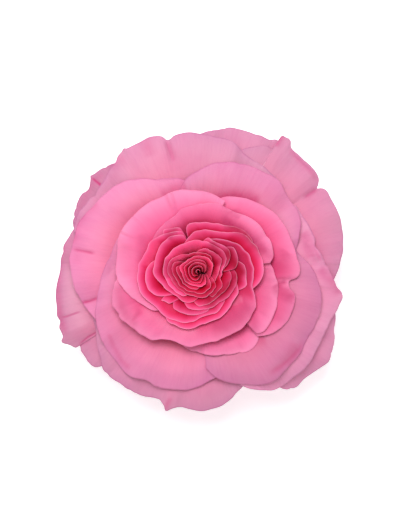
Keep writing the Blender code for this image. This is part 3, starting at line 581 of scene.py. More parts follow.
def undulation(name, grid, w, g, run):
    """Slow waves of the blade, strongest at the margin."""
    rng = seed_of(name + " blade")
    kind = kind_of(name)
    if kind == "heart":
        line = waves(rng, run, (9.0, 4.6), (0.10, 0.05))
        return line[:, None] * smooth(g, 0.35, 1.0)[None, :]
    size = {"outer": 1.0, "second": 0.8, "third": 0.6}[kind]
    line = waves(rng, run, (37.0, 19.0), (1.15 * size, 0.70 * size))[:, None] * smooth(g, 0.30, 1.0)[None, :] ** 1.5
    line = line + waves(rng, run, (11.5, 6.7), (0.34 * size, 0.15 * size))[:, None] * smooth(g, 0.66, 1.0)[None, :] ** 1.8
    line = line + waves(rng, run, (3.3,), (0.04 * size,))[:, None] * smooth(g, 0.82, 1.0)[None, :] ** 2
    # Fine pleats that fan out from the claw.
    line = line + waves(rng, run, (4.1, 2.3), (0.035 * size, 0.022 * size))[:, None] * smooth(g, 0.25, 0.6)[None, :]
    along = np.linalg.norm(np.diff(grid[grid.shape[0] // 2], axis=0), axis=1).sum()
    broad = waves(rng, g * along, (23.0, 12.0), (0.28 * size, 0.12 * size))
    return line + broad[None, :] * smooth(g, 0.2, 0.5)[None, :] * (1 - smooth(g, 0.85, 1.0))[None, :]


def gap_below(grid, normal, below, reach=9.0):
    """Distance along the downward normal to the petals beneath, or reach where there are none."""
    out = np.full(grid.shape[:2], reach)
    if below is None:
        return out
    for i in range(grid.shape[0]):
        for j in range(grid.shape[1]):
            hit = below.ray_cast(Vector(grid[i, j] + normal[i, j] * 0.05), Vector(-normal[i, j]), reach)
            if hit[0] is not None:
                out[i, j] = max(hit[3] - 0.05, 0.0)
    return out


def least_then_soft(values, span, axis):
    """The least value within span places, then softened by the same span."""
    low = values.copy()
    for k in range(1, span + 1):
        low = np.minimum(low, np.minimum(np.roll(values, k, axis), np.roll(values, -k, axis)))
    soft = np.zeros_like(low)
    total = 0.0
    for k in range(-span, span + 1):
        share = 1 - abs(k) / (span + 1)
        soft += share * np.take(low, np.clip(np.arange(low.shape[axis]) + k, 0, low.shape[axis] - 1), axis=axis)
        total += share
    return soft / total


def draped(name, grid, lift, ceiling, floor, below, thickness, w, g, run):
    """Moves a spread petal by lift along its normal, and rolls its margin down until it almost rests on the petals beneath."""
    kind = kind_of(name)
    normal = normals_of(grid)
    gap = gap_below(grid, normal, below)
    room = np.maximum(least_then_soft(gap, 2, 0) - thickness - 0.10, 0.0)
    rng = seed_of(name + " roll")
    rim = least_then_soft(gap[:, -1], 4, 0)
    resting = np.clip(rim - thickness - 0.14, 0.0, {"outer": 1.9, "second": 2.6, "third": 3.6}[kind])
    resting = np.where(rim > 8.9, 0.9, resting)
    resting = resting * (0.86 + 0.14 * np.clip(waves(rng, run, (27.0, 12.0), (0.9, 0.6)), -1, 1))
    step = np.linalg.norm(np.diff(grid, axis=1), axis=2)
    along = np.concatenate([np.zeros((grid.shape[0], 1)), np.cumsum(step, axis=1)], axis=1)
    inwards = along[:, -1:] - along
    reach = 5.0 + 2.0 * resting[:, None]
    roll = 0.74 * resting[:, None] * np.clip(1 - inwards / reach, 0, 1) ** 2.0
    lift = lift - roll
    up = np.maximum(0.42 * (ceiling - thickness), 0.02)
    lift = np.where(lift > 0, up * np.tanh(lift / up), lift)
    lift = np.maximum(lift, -room)
    if floor is not None:
        down = np.maximum(0.42 * (floor - thickness), 0.02)
        lift = np.where(lift < 0, down * np.tanh(lift / down), lift)
    # Straight up or down, so that the margin stays where the layout has it.
    moved = grid.copy()
    moved[..., 2] += lift / np.maximum(normal[..., 2], 0.45)
    return moved


# Creases and folds of single petals: a line on the layout, its half width and its depth in
# millimetres (a groove is below 0, a ridge above), and how darkly it is stained.
CREASES = {
    "petal_outer_2": [
        ([(58, 319), (68, 316), (82, 311)], 0.38, -0.30, 0.60),
        ([(77, 346), (88, 337), (101, 330)], 0.50, -0.40, 0.50),
        ([(70, 352), (80, 346), (92, 340)], 0.35, -0.20, 0.30),
        ([(62, 336), (74, 330), (88, 326)], 2.2, 0.35, 0.0),
    ],
    "petal_outer_4": [([(91, 177), (97, 182), (103, 187)], 0.8, -0.5, 0.75)],
    "petal_outer_5": [
        ([(289, 150), (300, 160), (310, 171), (317, 180)], 0.9, 0.8, 0.30),
        ([(319, 188), (311, 193), (303, 199)], 1.1, -0.7, 0.35),
    ],
    "petal_outer_6": [([(166, 411), (167, 404), (172, 396)], 1.2, 0.5, 0.25)],
    "petal_outer_7": [
        ([(166, 139), (170, 150), (175, 164)], 1.3, -0.9, 0.35),
        ([(131, 149), (138, 163), (147, 176)], 2.0, 0.4, 0.0),
    ],
    "petal_outer_8": [
        ([(309, 240), (314, 250), (322, 262)], 1.2, 0.6, 0.30),
        ([(303, 240), (308, 252), (318, 268)], 1.4, -0.6, 0.15),
    ],
    "petal_second_1": [
        ([(80, 303), (90, 301), (101, 297)], 0.8, -0.6, 0.60),
        ([(71, 249), (83, 251), (97, 254)], 0.8, -0.5, 0.45),
    ],
    # Its stain is partly painted shade of the fold.
    "petal_second_4": [
        ([(303, 338), (299, 348), (291, 357), (280, 366), (266, 376)], 1.4, -0.5, 0.36),
    ],
    "petal_third_2": [([(288, 281), (280, 284), (268, 284)], 1.3, -0.7, 0.45)],
    "petal_third_4": [([(130, 324), (136, 316), (143, 309)], 1.4, -0.5, 0.30)],
}

# Patches where a petal is darker and more mauve, some of them real stains and some painted shade where a fold or a
# neighbour shades the petal: a line on the layout, its half width in millimetres and its strength.
STAINS_AND_PAINTED_SHADE = {
    "petal_second_4": [([(284, 366), (292, 354), (298, 342)], 3.0, 0.35)],
    "petal_second_2": [([(262, 190), (276, 200), (284, 214)], 4.0, 0.18)],
    "petal_outer_5": [([(274, 146), (279, 139), (285, 132)], 1.6, 0.75), ([(288, 146), (300, 160), (312, 172), (319, 182)], 1.2, 0.40)],
    "petal_outer_7": [([(170, 150), (178, 172)], 3.5, 0.16), ([(120, 168), (100, 196), (86, 220)], 1.6, 0.14)],
    "petal_third_2": [([(288, 250), (280, 264), (268, 270)], 4.0, 0.55), ([(290, 296), (284, 310), (274, 322)], 3.0, 0.15)],
    "petal_third_4": [([(250, 300), (242, 314), (226, 324), (208, 328)], 4.6, 0.55), ([(118, 282), (121, 304), (128, 318), (140, 328)], 2.2, 0.42),
                      ([(247, 268), (250, 280), (250, 292)], 1.6, 0.20)],
    "petal_third_1": [([(196, 350), (224, 350), (248, 344)], 2.0, 0.20)],
    "petal_third_5": [([(262, 262), (268, 282), (266, 304), (258, 318)], 3.2, 0.34)],
    "petal_heart_04": [([(182, 315), (196, 314), (214, 306)], 1.5, 0.22)],
    "petal_heart_03": [([(200, 235), (220, 238), (238, 242)], 1.5, 0.25)],
    "petal_outer_2": [([(64, 236), (59, 262), (57, 290), (60, 318), (66, 340)], 1.5, 0.50)],
    "petal_outer_4": [([(104, 170), (88, 190), (78, 214)], 1.6, 0.25)],
    "petal_second_3": [([(108, 300), (116, 330), (140, 352)], 5.0, 0.16), ([(108, 330), (114, 346), (122, 360), (132, 370)], 1.2, 0.40)],
    "petal_second_1": [([(88, 216), (78, 240), (77, 268)], 2.5, 0.12), ([(98, 262), (90, 284), (92, 306)], 4.0, 0.14)],
}

# Patches that cross from petal to petal, mostly painted shade and painted light: deeper colour where the petals are
# pressed together and shade falls between them, paler colour where they lie open and the petals' shapes cast more shade
# than the bloom has.
PAINTED_SHADE_AT = {
    "heart": [
        ([(218, 220), (226, 222), (238, 228), (250, 238), (258, 246), (270, 258)], 2.6, 0.95),
        ([(224, 240), (228, 250), (232, 260), (241, 272), (232, 283), (222, 293), (208, 302), (198, 303)], 3.0, 1.10),
        ([(210, 240), (215, 248), (222, 256), (224, 268)], 2.2, 0.85), ([(178, 222), (174, 229), (167, 240)], 1.8, 0.65),
        ([(164, 258), (166, 270), (168, 280)], 1.8, 0.50), ([(172, 270), (178, 276), (190, 284)], 1.8, 0.70),
    ],
    "third": [
        ([(218, 220), (226, 222), (238, 228), (250, 238), (258, 246), (270, 258)], 2.6, 0.85),
        ([(224, 240), (228, 250), (232, 260), (241, 272), (232, 283), (222, 293), (208, 302), (198, 303)], 3.0, 0.95),
        ([(274, 282), (278, 290), (289, 296), (296, 298)], 3.0, 0.75), ([(124, 242), (125, 260), (128, 280)], 3.2, 0.20),
        ([(260, 248), (268, 255), (274, 264)], 3.0, 0.60), ([(142, 232), (143, 248), (142, 266)], 2.4, 0.30),
        ([(250, 310), (253, 322), (252, 334)], 2.6, 0.50), ([(230, 210), (232, 216), (240, 220)], 2.0, 0.45),
    ],
    "second": [
        ([(204, 208), (210, 203), (218, 200), (232, 197), (248, 198), (262, 205)], 2.8, 0.95), ([(162, 198), (174, 190), (188, 186)], 2.8, 0.55),
        ([(240, 345), (254, 341), (266, 336)], 2.6, 0.60), ([(72, 248), (74, 230), (84, 213), (100, 200)], 2.6, 0.35),
    ],
    "outer": [([(142, 132), (146, 143), (152, 158)], 2.6, 0.30), ([(104, 158), (115, 163), (126, 158)], 2.8, 0.28), ([(318, 266), (328, 277), (336, 286), (342, 296)], 2.6, 0.55), ([(302, 230), (307, 244), (312, 260)], 3.0, 0.55)],
}
# Painted light: paler where the petals lie open.
PAINTED_LIGHT_AT = {
    "heart": [
        ([(174, 264), (180, 256), (191, 248), (204, 249)], 2.6, 0.95), ([(196, 256), (200, 266), (208, 277), (214, 284)], 2.6, 1.15),
        ([(190, 242), (201, 237), (212, 238)], 1.6, 0.55), ([(147, 268), (149, 260), (153, 250), (161, 241)], 2.2, 0.75),
        ([(159, 292), (169, 307), (178, 312)], 1.8, 0.40), ([(178, 235), (187, 230), (198, 228)], 1.8, 0.40),
    ],
    "third": [
        ([(228, 300), (236, 302), (244, 300)], 1.8, 0.50), ([(142, 302), (152, 314), (166, 324), (186, 330), (202, 329)], 2.8, 0.42),
        ([(124, 238), (122, 220), (128, 208), (140, 200)], 2.6, 0.45),
    ],
    "outer": [([(72, 262), (72, 286), (74, 308), (84, 332)], 4.6, 0.30)],
}


def relief_of(name, grid, g, free):
    """How far creases lift or lower each point, and how strongly each point is marked: real stains and crease lines,
    painted shade where petals press together or fold, and painted light, below zero, where they lie open.
    """
    lift = np.zeros(grid.shape[:2])
    stain_and_painted_shading = np.zeros(grid.shape[:2])
    seen = smooth(g, 0.25, 0.45)[None, :]
    for line, width, depth, dark in CREASES.get(name, []):
        mark = stroke(grid[..., :2], line, width) * seen
        lift += depth * mark
        stain_and_painted_shading = np.maximum(stain_and_painted_shading, min(1.7 * dark, 1.15) * stroke(grid[..., :2], line, width * 0.8) * seen)
    for line, width, strength in STAINS_AND_PAINTED_SHADE.get(name, []):
        stain_and_painted_shading = np.maximum(stain_and_painted_shading, strength * stroke(grid[..., :2], line, width, 0.15) * seen)
    # Painted shade that crosses from petal to petal, where the petals press together.
    for line, width, strength in PAINTED_SHADE_AT.get(kind_of(name), []):
        stain_and_painted_shading = np.maximum(stain_and_painted_shading, strength * stroke(grid[..., :2], line, width, 0.15))
    # Painted light that crosses from petal to petal takes the mark below zero.
    for line, width, strength in PAINTED_LIGHT_AT.get(kind_of(name), []):
        stain_and_painted_shading = stain_and_painted_shading - strength * stroke(grid[..., :2], line, width, 0.15)
    return lift, stain_and_painted_shading


def thin_solid(grid, thickness, w, g, run):
    """A closed thin blade about a grid, with a rounded margin. Returns points, faces and what the materials read at each point."""
    n, k = grid.shape[:2]
    normal = normals_of(grid)
    step_g = np.linalg.norm(np.diff(grid, axis=1), axis=2)
    along = np.concatenate([np.zeros((n, 1)), np.cumsum(step_g, axis=1)], axis=1)
    step_w = np.linalg.norm(np.diff(grid, axis=0), axis=2)
    across = np.concatenate([np.zeros((1, k)), np.cumsum(step_w, axis=0)], axis=0)
    side = np.minimum(across, across[-1:] - across)
    edge = np.minimum(along[:, -1:] - along, side)
    taper = (0.35 + 0.65 * smooth(g, 0.0, 0.7))[None, :] * (0.62 + 0.38 * smooth(edge, 0.0, 2.2))
    half = 0.5 * thickness * taper
    inner, outer = grid + normal * half[..., None], grid - normal * half[..., None]
    rim = ([(i, 0) for i in range(n)] + [(n - 1, j) for j in range(1, k)]
           + [(i, k - 1) for i in range(n - 2, -1, -1)] + [(0, j) for j in range(k - 2, 0, -1)])
    ri, rj = np.array([p[0] for p in rim]), np.array([p[1] for p in rim])
    dg, dw = np.gradient(grid, axis=1), np.gradient(grid, axis=0)
    dg /= np.maximum(np.linalg.norm(dg, axis=2, keepdims=True), 1e-9)
    dw /= np.maximum(np.linalg.norm(dw, axis=2, keepdims=True), 1e-9)
    out = (np.where(rj == k - 1, 1.0, 0.0) - np.where(rj == 0, 1.0, 0.0))[:, None] * dg[ri, rj] \
        + (np.where(ri == n - 1, 1.0, 0.0) - np.where(ri == 0, 1.0, 0.0))[:, None] * dw[ri, rj]
    out /= np.maximum(np.linalg.norm(out, axis=1, keepdims=True), 1e-9)
    ring = grid[ri, rj] + out * (half[ri, rj] * 0.95)[:, None]
    points = np.concatenate([inner.reshape(-1, 3), outer.reshape(-1, 3), ring])
    index = np.arange(n * k).reshape(n, k)
    a, b, c, d = index[:-1, :-1], index[1:, :-1], index[1:, 1:], index[:-1, 1:]
    top = np.stack([a, b, c, d], axis=-1).reshape(-1, 4)
    bottom = np.stack([a, d, c, b], axis=-1).reshape(-1, 4) + n * k
    loop = index[ri, rj]
    after = np.roll(np.arange(len(rim)), -1)
    ring_at = 2 * n * k + np.arange(len(rim))
    upper = np.stack([loop, ring_at, ring_at[after], loop[after]], axis=-1)
    lower = np.stack([ring_at, loop + n * k, loop[after] + n * k, ring_at[after]], axis=-1)
    faces = np.concatenate([top, bottom, upper, lower])
    p, q, r = points[faces[:, 0]], points[faces[:, 1]], points[faces[:, 2]]
    s = points[faces[:, 3]]
    volume = np.einsum("ij,ij->i", p, np.cross(q, r)).sum() + np.einsum("ij,ij->i", p, np.cross(r, s)).sum()
    if volume < 0:
        faces = faces[:, ::-1]
    both = lambda field: np.concatenate([field.ravel(), field.ravel(), field[ri, rj]])
    vein = np.stack([np.broadcast_to((w * 0.5 * run[-1])[:, None], (n, k)), along * 0.10], axis=-1)
    facts = {
        "along": both(np.broadcast_to(g[None, :], (n, k))),
        "rim_mm": both(along[:, -1:] - along),
        "edge_mm": both(edge),
        "back": np.concatenate([np.zeros(n * k), np.ones(n * k), np.full(len(rim), 0.5)]),
    }
    flow = np.concatenate([vein.reshape(-1, 2), vein.reshape(-1, 2), vein[ri, rj]])
    return points, faces, facts, flow, both


def make_piece(name, points, faces, facts, flow, material, nodes, offset):
    mesh = bpy.data.meshes.new(name)
    mesh.from_pydata(((points + np.array(AXIS_AT)) * 0.001).tolist(), [], faces if isinstance(faces, list) else faces.tolist())
    mesh.update()
    mesh.polygons.foreach_set("use_smooth", np.ones(len(mesh.polygons), bool))
    for key, values in facts.items():
        layer = mesh.attributes.new(key, "FLOAT", "POINT")
        layer.data.foreach_set("value", np.ascontiguousarray(values, np.float32))
    if flow is not None:
        layer = mesh.attributes.new("flow", "FLOAT_VECTOR", "POINT")
        vectors = np.column_stack([flow, np.full(len(flow), offset)]).astype(np.float32)
        layer.data.foreach_set("vector", vectors.ravel())
    mesh.materials.append(material)
    item = bpy.data.objects.new(name, mesh)
    bpy.context.scene.collection.objects.link(item)
    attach(item, "root")
    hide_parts(*nodes)
    return item


# ---------------------------------------------------------------- materials

def srgb(r, g, b):
    """A colour named by its display values, as the shader's linear numbers."""
    out = []
    for v in (r, g, b):
        v /= 255.0
        out.append(v / 12.92 if v <= 0.04045 else ((v + 0.055) / 1.055) ** 2.4)
    return tuple(out)


class Nodes:
    """A small helper that adds shader nodes to one material."""

    def __init__(self, name):
        self.material = bpy.data.materials.new(name)
        self.material.use_nodes = True
        self.tree = self.material.node_tree
        self.tree.nodes.clear()

    def add(self, kind, **settings):
        node = self.tree.nodes.new(kind)
        for key, value in settings.items():
            setattr(node, key, value)
        return node

    def put(self, value, socket):
        if isinstance(value, bpy.types.NodeSocket):
            self.tree.links.new(value, socket)
        elif isinstance(value, tuple) and len(value) == 3 and socket.type == "RGBA":
            socket.default_value = (*value, 1.0)
        else:
            socket.default_value = value

    def fact(self, name, output="Fac"):
        return self.add("ShaderNodeAttribute", attribute_name=name, attribute_type="GEOMETRY").outputs[output]

    def math(self, operation, a, b=0.0, c=0.0, clamp=False):
        node = self.add("ShaderNodeMath", operation=operation, use_clamp=clamp)
        for value, socket in zip((a, b, c), node.inputs):
            self.put(value, socket)
        return node.outputs[0]

    def step(self, value, low, high, out_low=0.0, out_high=1.0):
        node = self.add("ShaderNodeMapRange", interpolation_type="SMOOTHSTEP")
        for key, given in (("Value", value), ("From Min", low), ("From Max", high), ("To Min", out_low), ("To Max", out_high)):
            self.put(given, node.inputs[key])
        return node.outputs[0]

    def mix(self, factor, a, b, blend="MIX"):
        node = self.add("ShaderNodeMix", data_type="RGBA", blend_type=blend)
        self.put(factor, node.inputs[0])
        self.put(a, node.inputs[6])
        self.put(b, node.inputs[7])
        return node.outputs[2]

    def ramp(self, factor, stops):
        node = self.add("ShaderNodeValToRGB")
        node.color_ramp.interpolation = "B_SPLINE" if len(stops) > 3 else "EASE"
        while len(node.color_ramp.elements) < len(stops):
            node.color_ramp.elements.new(0.5)
        for element, (at, colour) in zip(node.color_ramp.elements, stops):
            element.position = at
            element.color = (*colour, 1.0)
        self.put(factor, node.inputs[0])
        return node.outputs[0]

    def noise(self, vector, scale, detail=3.0, rough=0.5, distortion=0.0, output="Fac"):
        node = self.add("ShaderNodeTexNoise")
        self.put(vector, node.inputs["Vector"])
        node.inputs["Scale"].default_value = scale
        node.inputs["Detail"].default_value = detail
        node.inputs["Roughness"].default_value = rough
        node.inputs["Distortion"].default_value = distortion
        return node.outputs[output]

    def bump(self, height, strength, distance, under=None):
        node = self.add("ShaderNodeBump")
        node.inputs["Strength"].default_value = strength
        node.inputs["Distance"].default_value = distance
        self.put(height, node.inputs["Height"])
        if under is not None:
            self.put(under, node.inputs["Normal"])
        return node.outputs[0]


def petal_material(name, stops, edge_colour, edge_width, edge_strength, stain_and_shade_colour, painted_rim_highlight, back_colour, depth=None, inner_stops=None, specular=0.28, velvet=0.12, painted_light_colour=srgb(246, 202, 220)):
    m = Nodes(name)
    where = m.add("ShaderNodeTexCoord").outputs["Object"]
    flow = m.fact("flow", "Vector")
    along, edge, back, stain_and_painted_shading = m.fact("along"), m.fact("edge_mm"), m.fact("back"), m.fact("stain_and_painted_shading")
    blotch = m.noise(where, 75.0, 3.0, 0.55)
    broad = m.noise(where, 28.0, 2.0, 0.5)
    veins = m.noise(flow, 1.05, 4.0, 0.62, 0.25)
    fine = m.noise(flow, 3.1, 3.0, 0.6, 0.15)
    # The blade's gradient from deep inside to the margin, with a slightly uneven front. Its deepest reds, far down the
    # blade, are partly the petal's colour and partly painted shade of the crevices between the petals.
    if depth:
        along = m.math("SUBTRACT", 1.0, m.math("DIVIDE", m.fact("rim_mm"), depth), clamp=True)
    place = m.math("ADD", along, m.math("MULTIPLY", m.math("SUBTRACT", broad, 0.5), 0.14))
    place = m.math("ADD", place, m.math("MULTIPLY", m.math("SUBTRACT", veins, 0.5), 0.05))
    body = m.ramp(place, stops)
    if inner_stops:
        # Petals near the axis are of a deeper red; in the third whorl this deeper red is partly painted shade, where
        # the faces lie in their neighbours' shadow.
        rank = m.math("ADD", m.fact("rank"), m.math("MULTIPLY", m.math("SUBTRACT", broad, 0.5), 0.3), clamp=True)
        body = m.mix(rank, m.ramp(place, inner_stops), body)
    # Each petal's tone; for some heart petals it is painted light.
    body = m.mix(1.0, body, m.fact("tone"), "MULTIPLY")
    # The back of the blade is paler and cooler.
    body = m.mix(m.math("MULTIPLY", back, 0.55), body, back_colour)
    # Soft blotches, and veins that fan out from the claw.
    body = m.mix(m.step(blotch, 0.35, 0.75, 0.0, 0.26), body, m.mix(1.0, body, (0.90, 0.70, 0.90), "MULTIPLY"))
    body = m.mix(m.step(veins, 0.40, 0.70, 0.0, 0.26), body, m.mix(1.0, body, (0.93, 0.70, 0.84), "MULTIPLY"))
    body = m.mix(m.step(fine, 0.46, 0.76, 0.0, 0.18), body, m.mix(1.0, body, (0.95, 0.76, 0.88), "MULTIPLY"))
    # Lines and patches of real stains and bruises, painted shade where petals press together or fold, and painted light
    # where they lie open.
    stain_and_shading_mark = m.math("MULTIPLY", stain_and_painted_shading, m.step(m.noise(where, 190.0, 3.0, 0.6), 0.2, 0.7, 0.65, 1.0))
    body = m.mix(m.math("MULTIPLY", stain_and_shading_mark, 0.85, clamp=True), body, stain_and_shade_colour)
    body = m.mix(m.math("MULTIPLY", stain_and_shading_mark, -0.85, clamp=True), body, painted_light_colour)
    # The margin: a narrow darker band, uneven along its length, and a painted highlight, a light line on the very edge.
    uneven = m.step(m.noise(where, 120.0, 2.0, 0.6), 0.3, 0.7, 0.30, 1.0)
    flush = m.math("MULTIPLY", m.step(edge, 0.0, 4.0 * edge_width + 1.5, 0.45 * edge_strength, 0.0), m.step(m.noise(where, 46.0, 2.0, 0.5), 0.42, 0.62, 0.0, 1.0))
    body = m.mix(flush, body, m.mix(1.0, body, (0.86, 0.66, 0.90), "MULTIPLY"))
    band = m.math("MULTIPLY", m.step(edge, 0.0, edge_width, edge_strength, 0.0), uneven)
    body = m.mix(band, body, edge_colour)
    # Painted highlight along the very edge, uneven along its length.
    bright = m.step(m.noise(where, 260.0, 2.0, 0.6), 0.34, 0.66, 0.10, 1.0)
    body = m.mix(m.math("MULTIPLY", m.step(edge, 0.0, 0.32, painted_rim_highlight, 0.0), bright), body, (0.96, 0.55, 0.72))
    grain = m.noise(where, 2600.0, 2.0, 0.5)
    rough = m.math("ADD", 0.50, m.math("MULTIPLY", blotch, 0.16))
    height = m.math("ADD", m.math("MULTIPLY", veins, 0.8), m.math("MULTIPLY", fine, 0.35))
    normal = m.bump(height, 0.55, 0.00020)
    normal = m.bump(grain, 0.10, 0.00003, normal)
    shader = m.add("ShaderNodeBsdfPrincipled")
    m.put(body, shader.inputs["Base Color"])
    m.put(rough, shader.inputs["Roughness"])
    m.put(normal, shader.inputs["Normal"])
    shader.inputs["Specular IOR Level"].default_value = specular
    shader.inputs["Sheen Weight"].default_value = velvet
    shader.inputs["Sheen Roughness"].default_value = 0.45
    shader.inputs["Sheen Tint"].default_value = (1.0, 0.80, 0.90, 1.0)
    through = m.add("ShaderNodeBsdfTranslucent")
    m.put(body, through.inputs["Color"])
    m.put(normal, through.inputs["Normal"])
    both = m.add("ShaderNodeMixShader")
    both.inputs[0].default_value = 0.24
    m.tree.links.new(shader.outputs[0], both.inputs[1])
    m.tree.links.new(through.outputs[0], both.inputs[2])
    m.tree.links.new(both.outputs[0], m.add("ShaderNodeOutputMaterial").inputs["Surface"])
    return m.material


def green_material(name, light, dark, red, red_amount, fuzz, core=None):
    m = Nodes(name)
    where = m.add("ShaderNodeTexCoord").outputs["Object"]
    along, edge = m.fact("along"), m.fact("edge_mm")
    speck = m.noise(where, 420.0, 4.0, 0.6)
    broad = m.noise(where, 60.0, 3.0, 0.55)
    body = m.ramp(m.math("ADD", m.math("MULTIPLY", broad, 0.7), m.math("MULTIPLY", speck, 0.3)),
                  [(0.25, dark), (0.55, tuple(0.5 * (a + b) for a, b in zip(light, dark))), (0.8, light)])
    streak = m.noise(m.fact("flow", "Vector"), 1.3, 3.0, 0.6)
    body = m.mix(m.step(streak, 0.45, 0.75, 0.0, 0.35), body, m.mix(1.0, body, (0.78, 0.86, 0.60), "MULTIPLY"))
    reddish = m.math("MULTIPLY", m.step(edge, 0.0, 1.2, red_amount, 0.0), m.step(broad, 0.35, 0.65, 0.3, 1.0))
    body = m.mix(reddish, body, red)
    body = m.mix(m.step(along, 0.0, 0.10, 0.35, 0.0), body, light)
    if core:
        # Under the petals the receptacle is dark red around the axis.
        body = m.mix(m.step(along, 0.10, 0.22, 1.0, 0.0), body, core)
    height = m.math("ADD", speck, m.math("MULTIPLY", streak, 0.8))
    normal = m.bump(height, 0.35, 0.00012)
    shader = m.add("ShaderNodeBsdfPrincipled")
    m.put(body, shader.inputs["Base Color"])
    m.put(m.math("ADD", 0.42, m.math("MULTIPLY", speck, 0.25)), shader.inputs["Roughness"])
    m.put(normal, shader.inputs["Normal"])
    shader.inputs["Specular IOR Level"].default_value = 0.35
    shader.inputs["Sheen Weight"].default_value = fuzz
    shader.inputs["Sheen Roughness"].default_value = 0.5
    m.tree.links.new(shader.outputs[0], m.add("ShaderNodeOutputMaterial").inputs["Surface"])
    return m.material


# ---------------------------------------------------------------- petals

grids, shapes = {}, {}
for name, spec in PETALS.items():
    nu, ng = GRIDS[kind_of(name)]
    if "tuck" in spec:
        length = np.linalg.norm(np.diff(margin(spec["margin"], 200), axis=0), axis=1).sum()
        nu = int(np.clip(length / UPRIGHT_STEP, 40, 300))
    grid, w, g, run = (upright_petal if "tuck" in spec else spread_petal)(name, spec, nu, ng)
    grids[name], shapes[name] = grid, (w, g, run)

free = clearances(grids)

MATERIALS = {
    "outer": petal_material(
        "petal_outer",
        [(0.0, srgb(226, 194, 152)), (0.22, srgb(240, 158, 164)), (0.5, srgb(240, 138, 172)), (0.78, srgb(237, 147, 182)), (1.0, srgb(228, 156, 190))],
        srgb(182, 84, 140), 0.8, 0.50, srgb(204, 54, 122), 0.10, srgb(238, 182, 206)),
    "second": petal_material(
        "petal_second",
        [(0.0, srgb(232, 172, 136)), (0.22, srgb(244, 114, 136)), (0.5, srgb(246, 128, 164)), (0.78, srgb(243, 143, 182)), (1.0, srgb(236, 146, 190))],
        srgb(194, 76, 134), 0.7, 0.45, srgb(210, 46, 112), 0.10, srgb(240, 164, 196)),
    "third": petal_material(
        "petal_third",
        [(0.0, srgb(216, 46, 100)), (0.35, srgb(236, 72, 128)), (0.6, srgb(244, 102, 155)), (0.82, srgb(248, 130, 177)), (1.0, srgb(250, 152, 193))],
        srgb(208, 78, 136), 0.7, 0.25, srgb(188, 32, 94), 0.14, srgb(244, 140, 180), 18.0,
        [(0.0, srgb(206, 22, 72)), (0.35, srgb(220, 44, 96)), (0.6, srgb(230, 64, 116)), (0.82, srgb(240, 96, 148)), (1.0, srgb(247, 130, 176))], 0.22, 0.08, srgb(252, 160, 198)),
    "heart": petal_material(
        "petal_heart",
        [(0.0, srgb(190, 0, 34)), (0.40, srgb(206, 12, 58)), (0.66, srgb(226, 34, 90)), (0.86, srgb(245, 80, 138)), (1.0, srgb(253, 128, 178))],
        srgb(244, 120, 168), 0.5, 0.15, srgb(172, 8, 48), 0.30, srgb(236, 60, 114), 8.0,
        [(0.0, srgb(170, 0, 10)), (0.40, srgb(182, 0, 16)), (0.70, srgb(198, 0, 30)), (0.90, srgb(222, 12, 64)), (1.0, srgb(248, 64, 122))], 0.12, 0.02, srgb(255, 88, 142)),
}

# How light each petal is, and between which radii of the margin, in mm, a whorl turns from the deeper to the lighter
# red. Some tones are painted light: petal_heart_15 and petal_heart_21 are made lighter in place of the light that the
# shade among their neighbours takes away. In the third whorl the deeper red near the axis is partly painted shade.
PETAL_TONES_AND_PAINTED_LIGHT = {
    "petal_outer_1": 0.97, "petal_outer_2": 0.84, "petal_outer_3": 0.86, "petal_outer_4": 0.76, "petal_outer_5": 0.88,
    "petal_outer_6": 0.88, "petal_outer_7": 0.90, "petal_outer_8": 1.06, "petal_second_2": 0.90, "petal_second_3": 0.94,
    "petal_second_4": 0.84, "petal_third_4": 0.92, "petal_heart_08": 0.90, "petal_heart_15": 1.12, "petal_heart_18": 0.86,
    "petal_heart_19": 0.86, "petal_heart_21": 1.20, "petal_heart_06": 1.04,
}
RANKS = {"third": (24.5, 33.0), "heart": (7.5, 16.5)}
# Painted light: petals made paler than their place would make them, where the shade among their neighbours darkens them
# more than in the bloom; below zero a petal is made deeper.
PAINTED_LIGHT_BY_PETAL = {"petal_third_3": 0.35, "petal_third_2": -0.3, "petal_heart_06": 0.35, "petal_heart_15": 1.0, "petal_heart_21": 0.4, "petal_heart_17": 0.5, "petal_heart_14": 0.3, "petal_heart_20": 0.2}
# Crumples of the heart that its petals share, as they were pressed together in the bud: how many go round it and their height in mm.
CRUMPLES = [(4, 0.16), (6, 0.15), (7, 0.12), (10, 0.11), (13, 0.09), (17, 0.065), (22, 0.045), (29, 0.035), (38, 0.025)]
crumple_rng = seed_of("crumples")
CRUMPLE_PHASES = crumple_rng.uniform(0, 2 * math.pi, (len(CRUMPLES), 2))
CRUMPLE_TWISTS = crumple_rng.uniform(-0.55, 0.55, (len(CRUMPLES), 2))


def crumpled(grid):
    """The grid pushed in and out from the axis. The push is a function of the place alone, so petals that were clear stay clear."""
    r = np.hypot(grid[..., 0], grid[..., 1])
    angle = np.arctan2(grid[..., 1], grid[..., 0])
    push = 0.0
    for (count, height), phase, twist in zip(CRUMPLES, CRUMPLE_PHASES, CRUMPLE_TWISTS):
        push = push + height * np.sin(count * angle + phase[0] + twist[0] * r + twist[1] * grid[..., 2])
    push = 0.9 * push * smooth(r, 1.5, 9.0) * (1 - smooth(r, 19.0, 30.0)) * smooth(grid[..., 2], 9.0, 19.0)
    moved = grid.copy()
    moved[..., :2] *= (1 + push / np.maximum(r, 0.5))[..., None]
    return moved


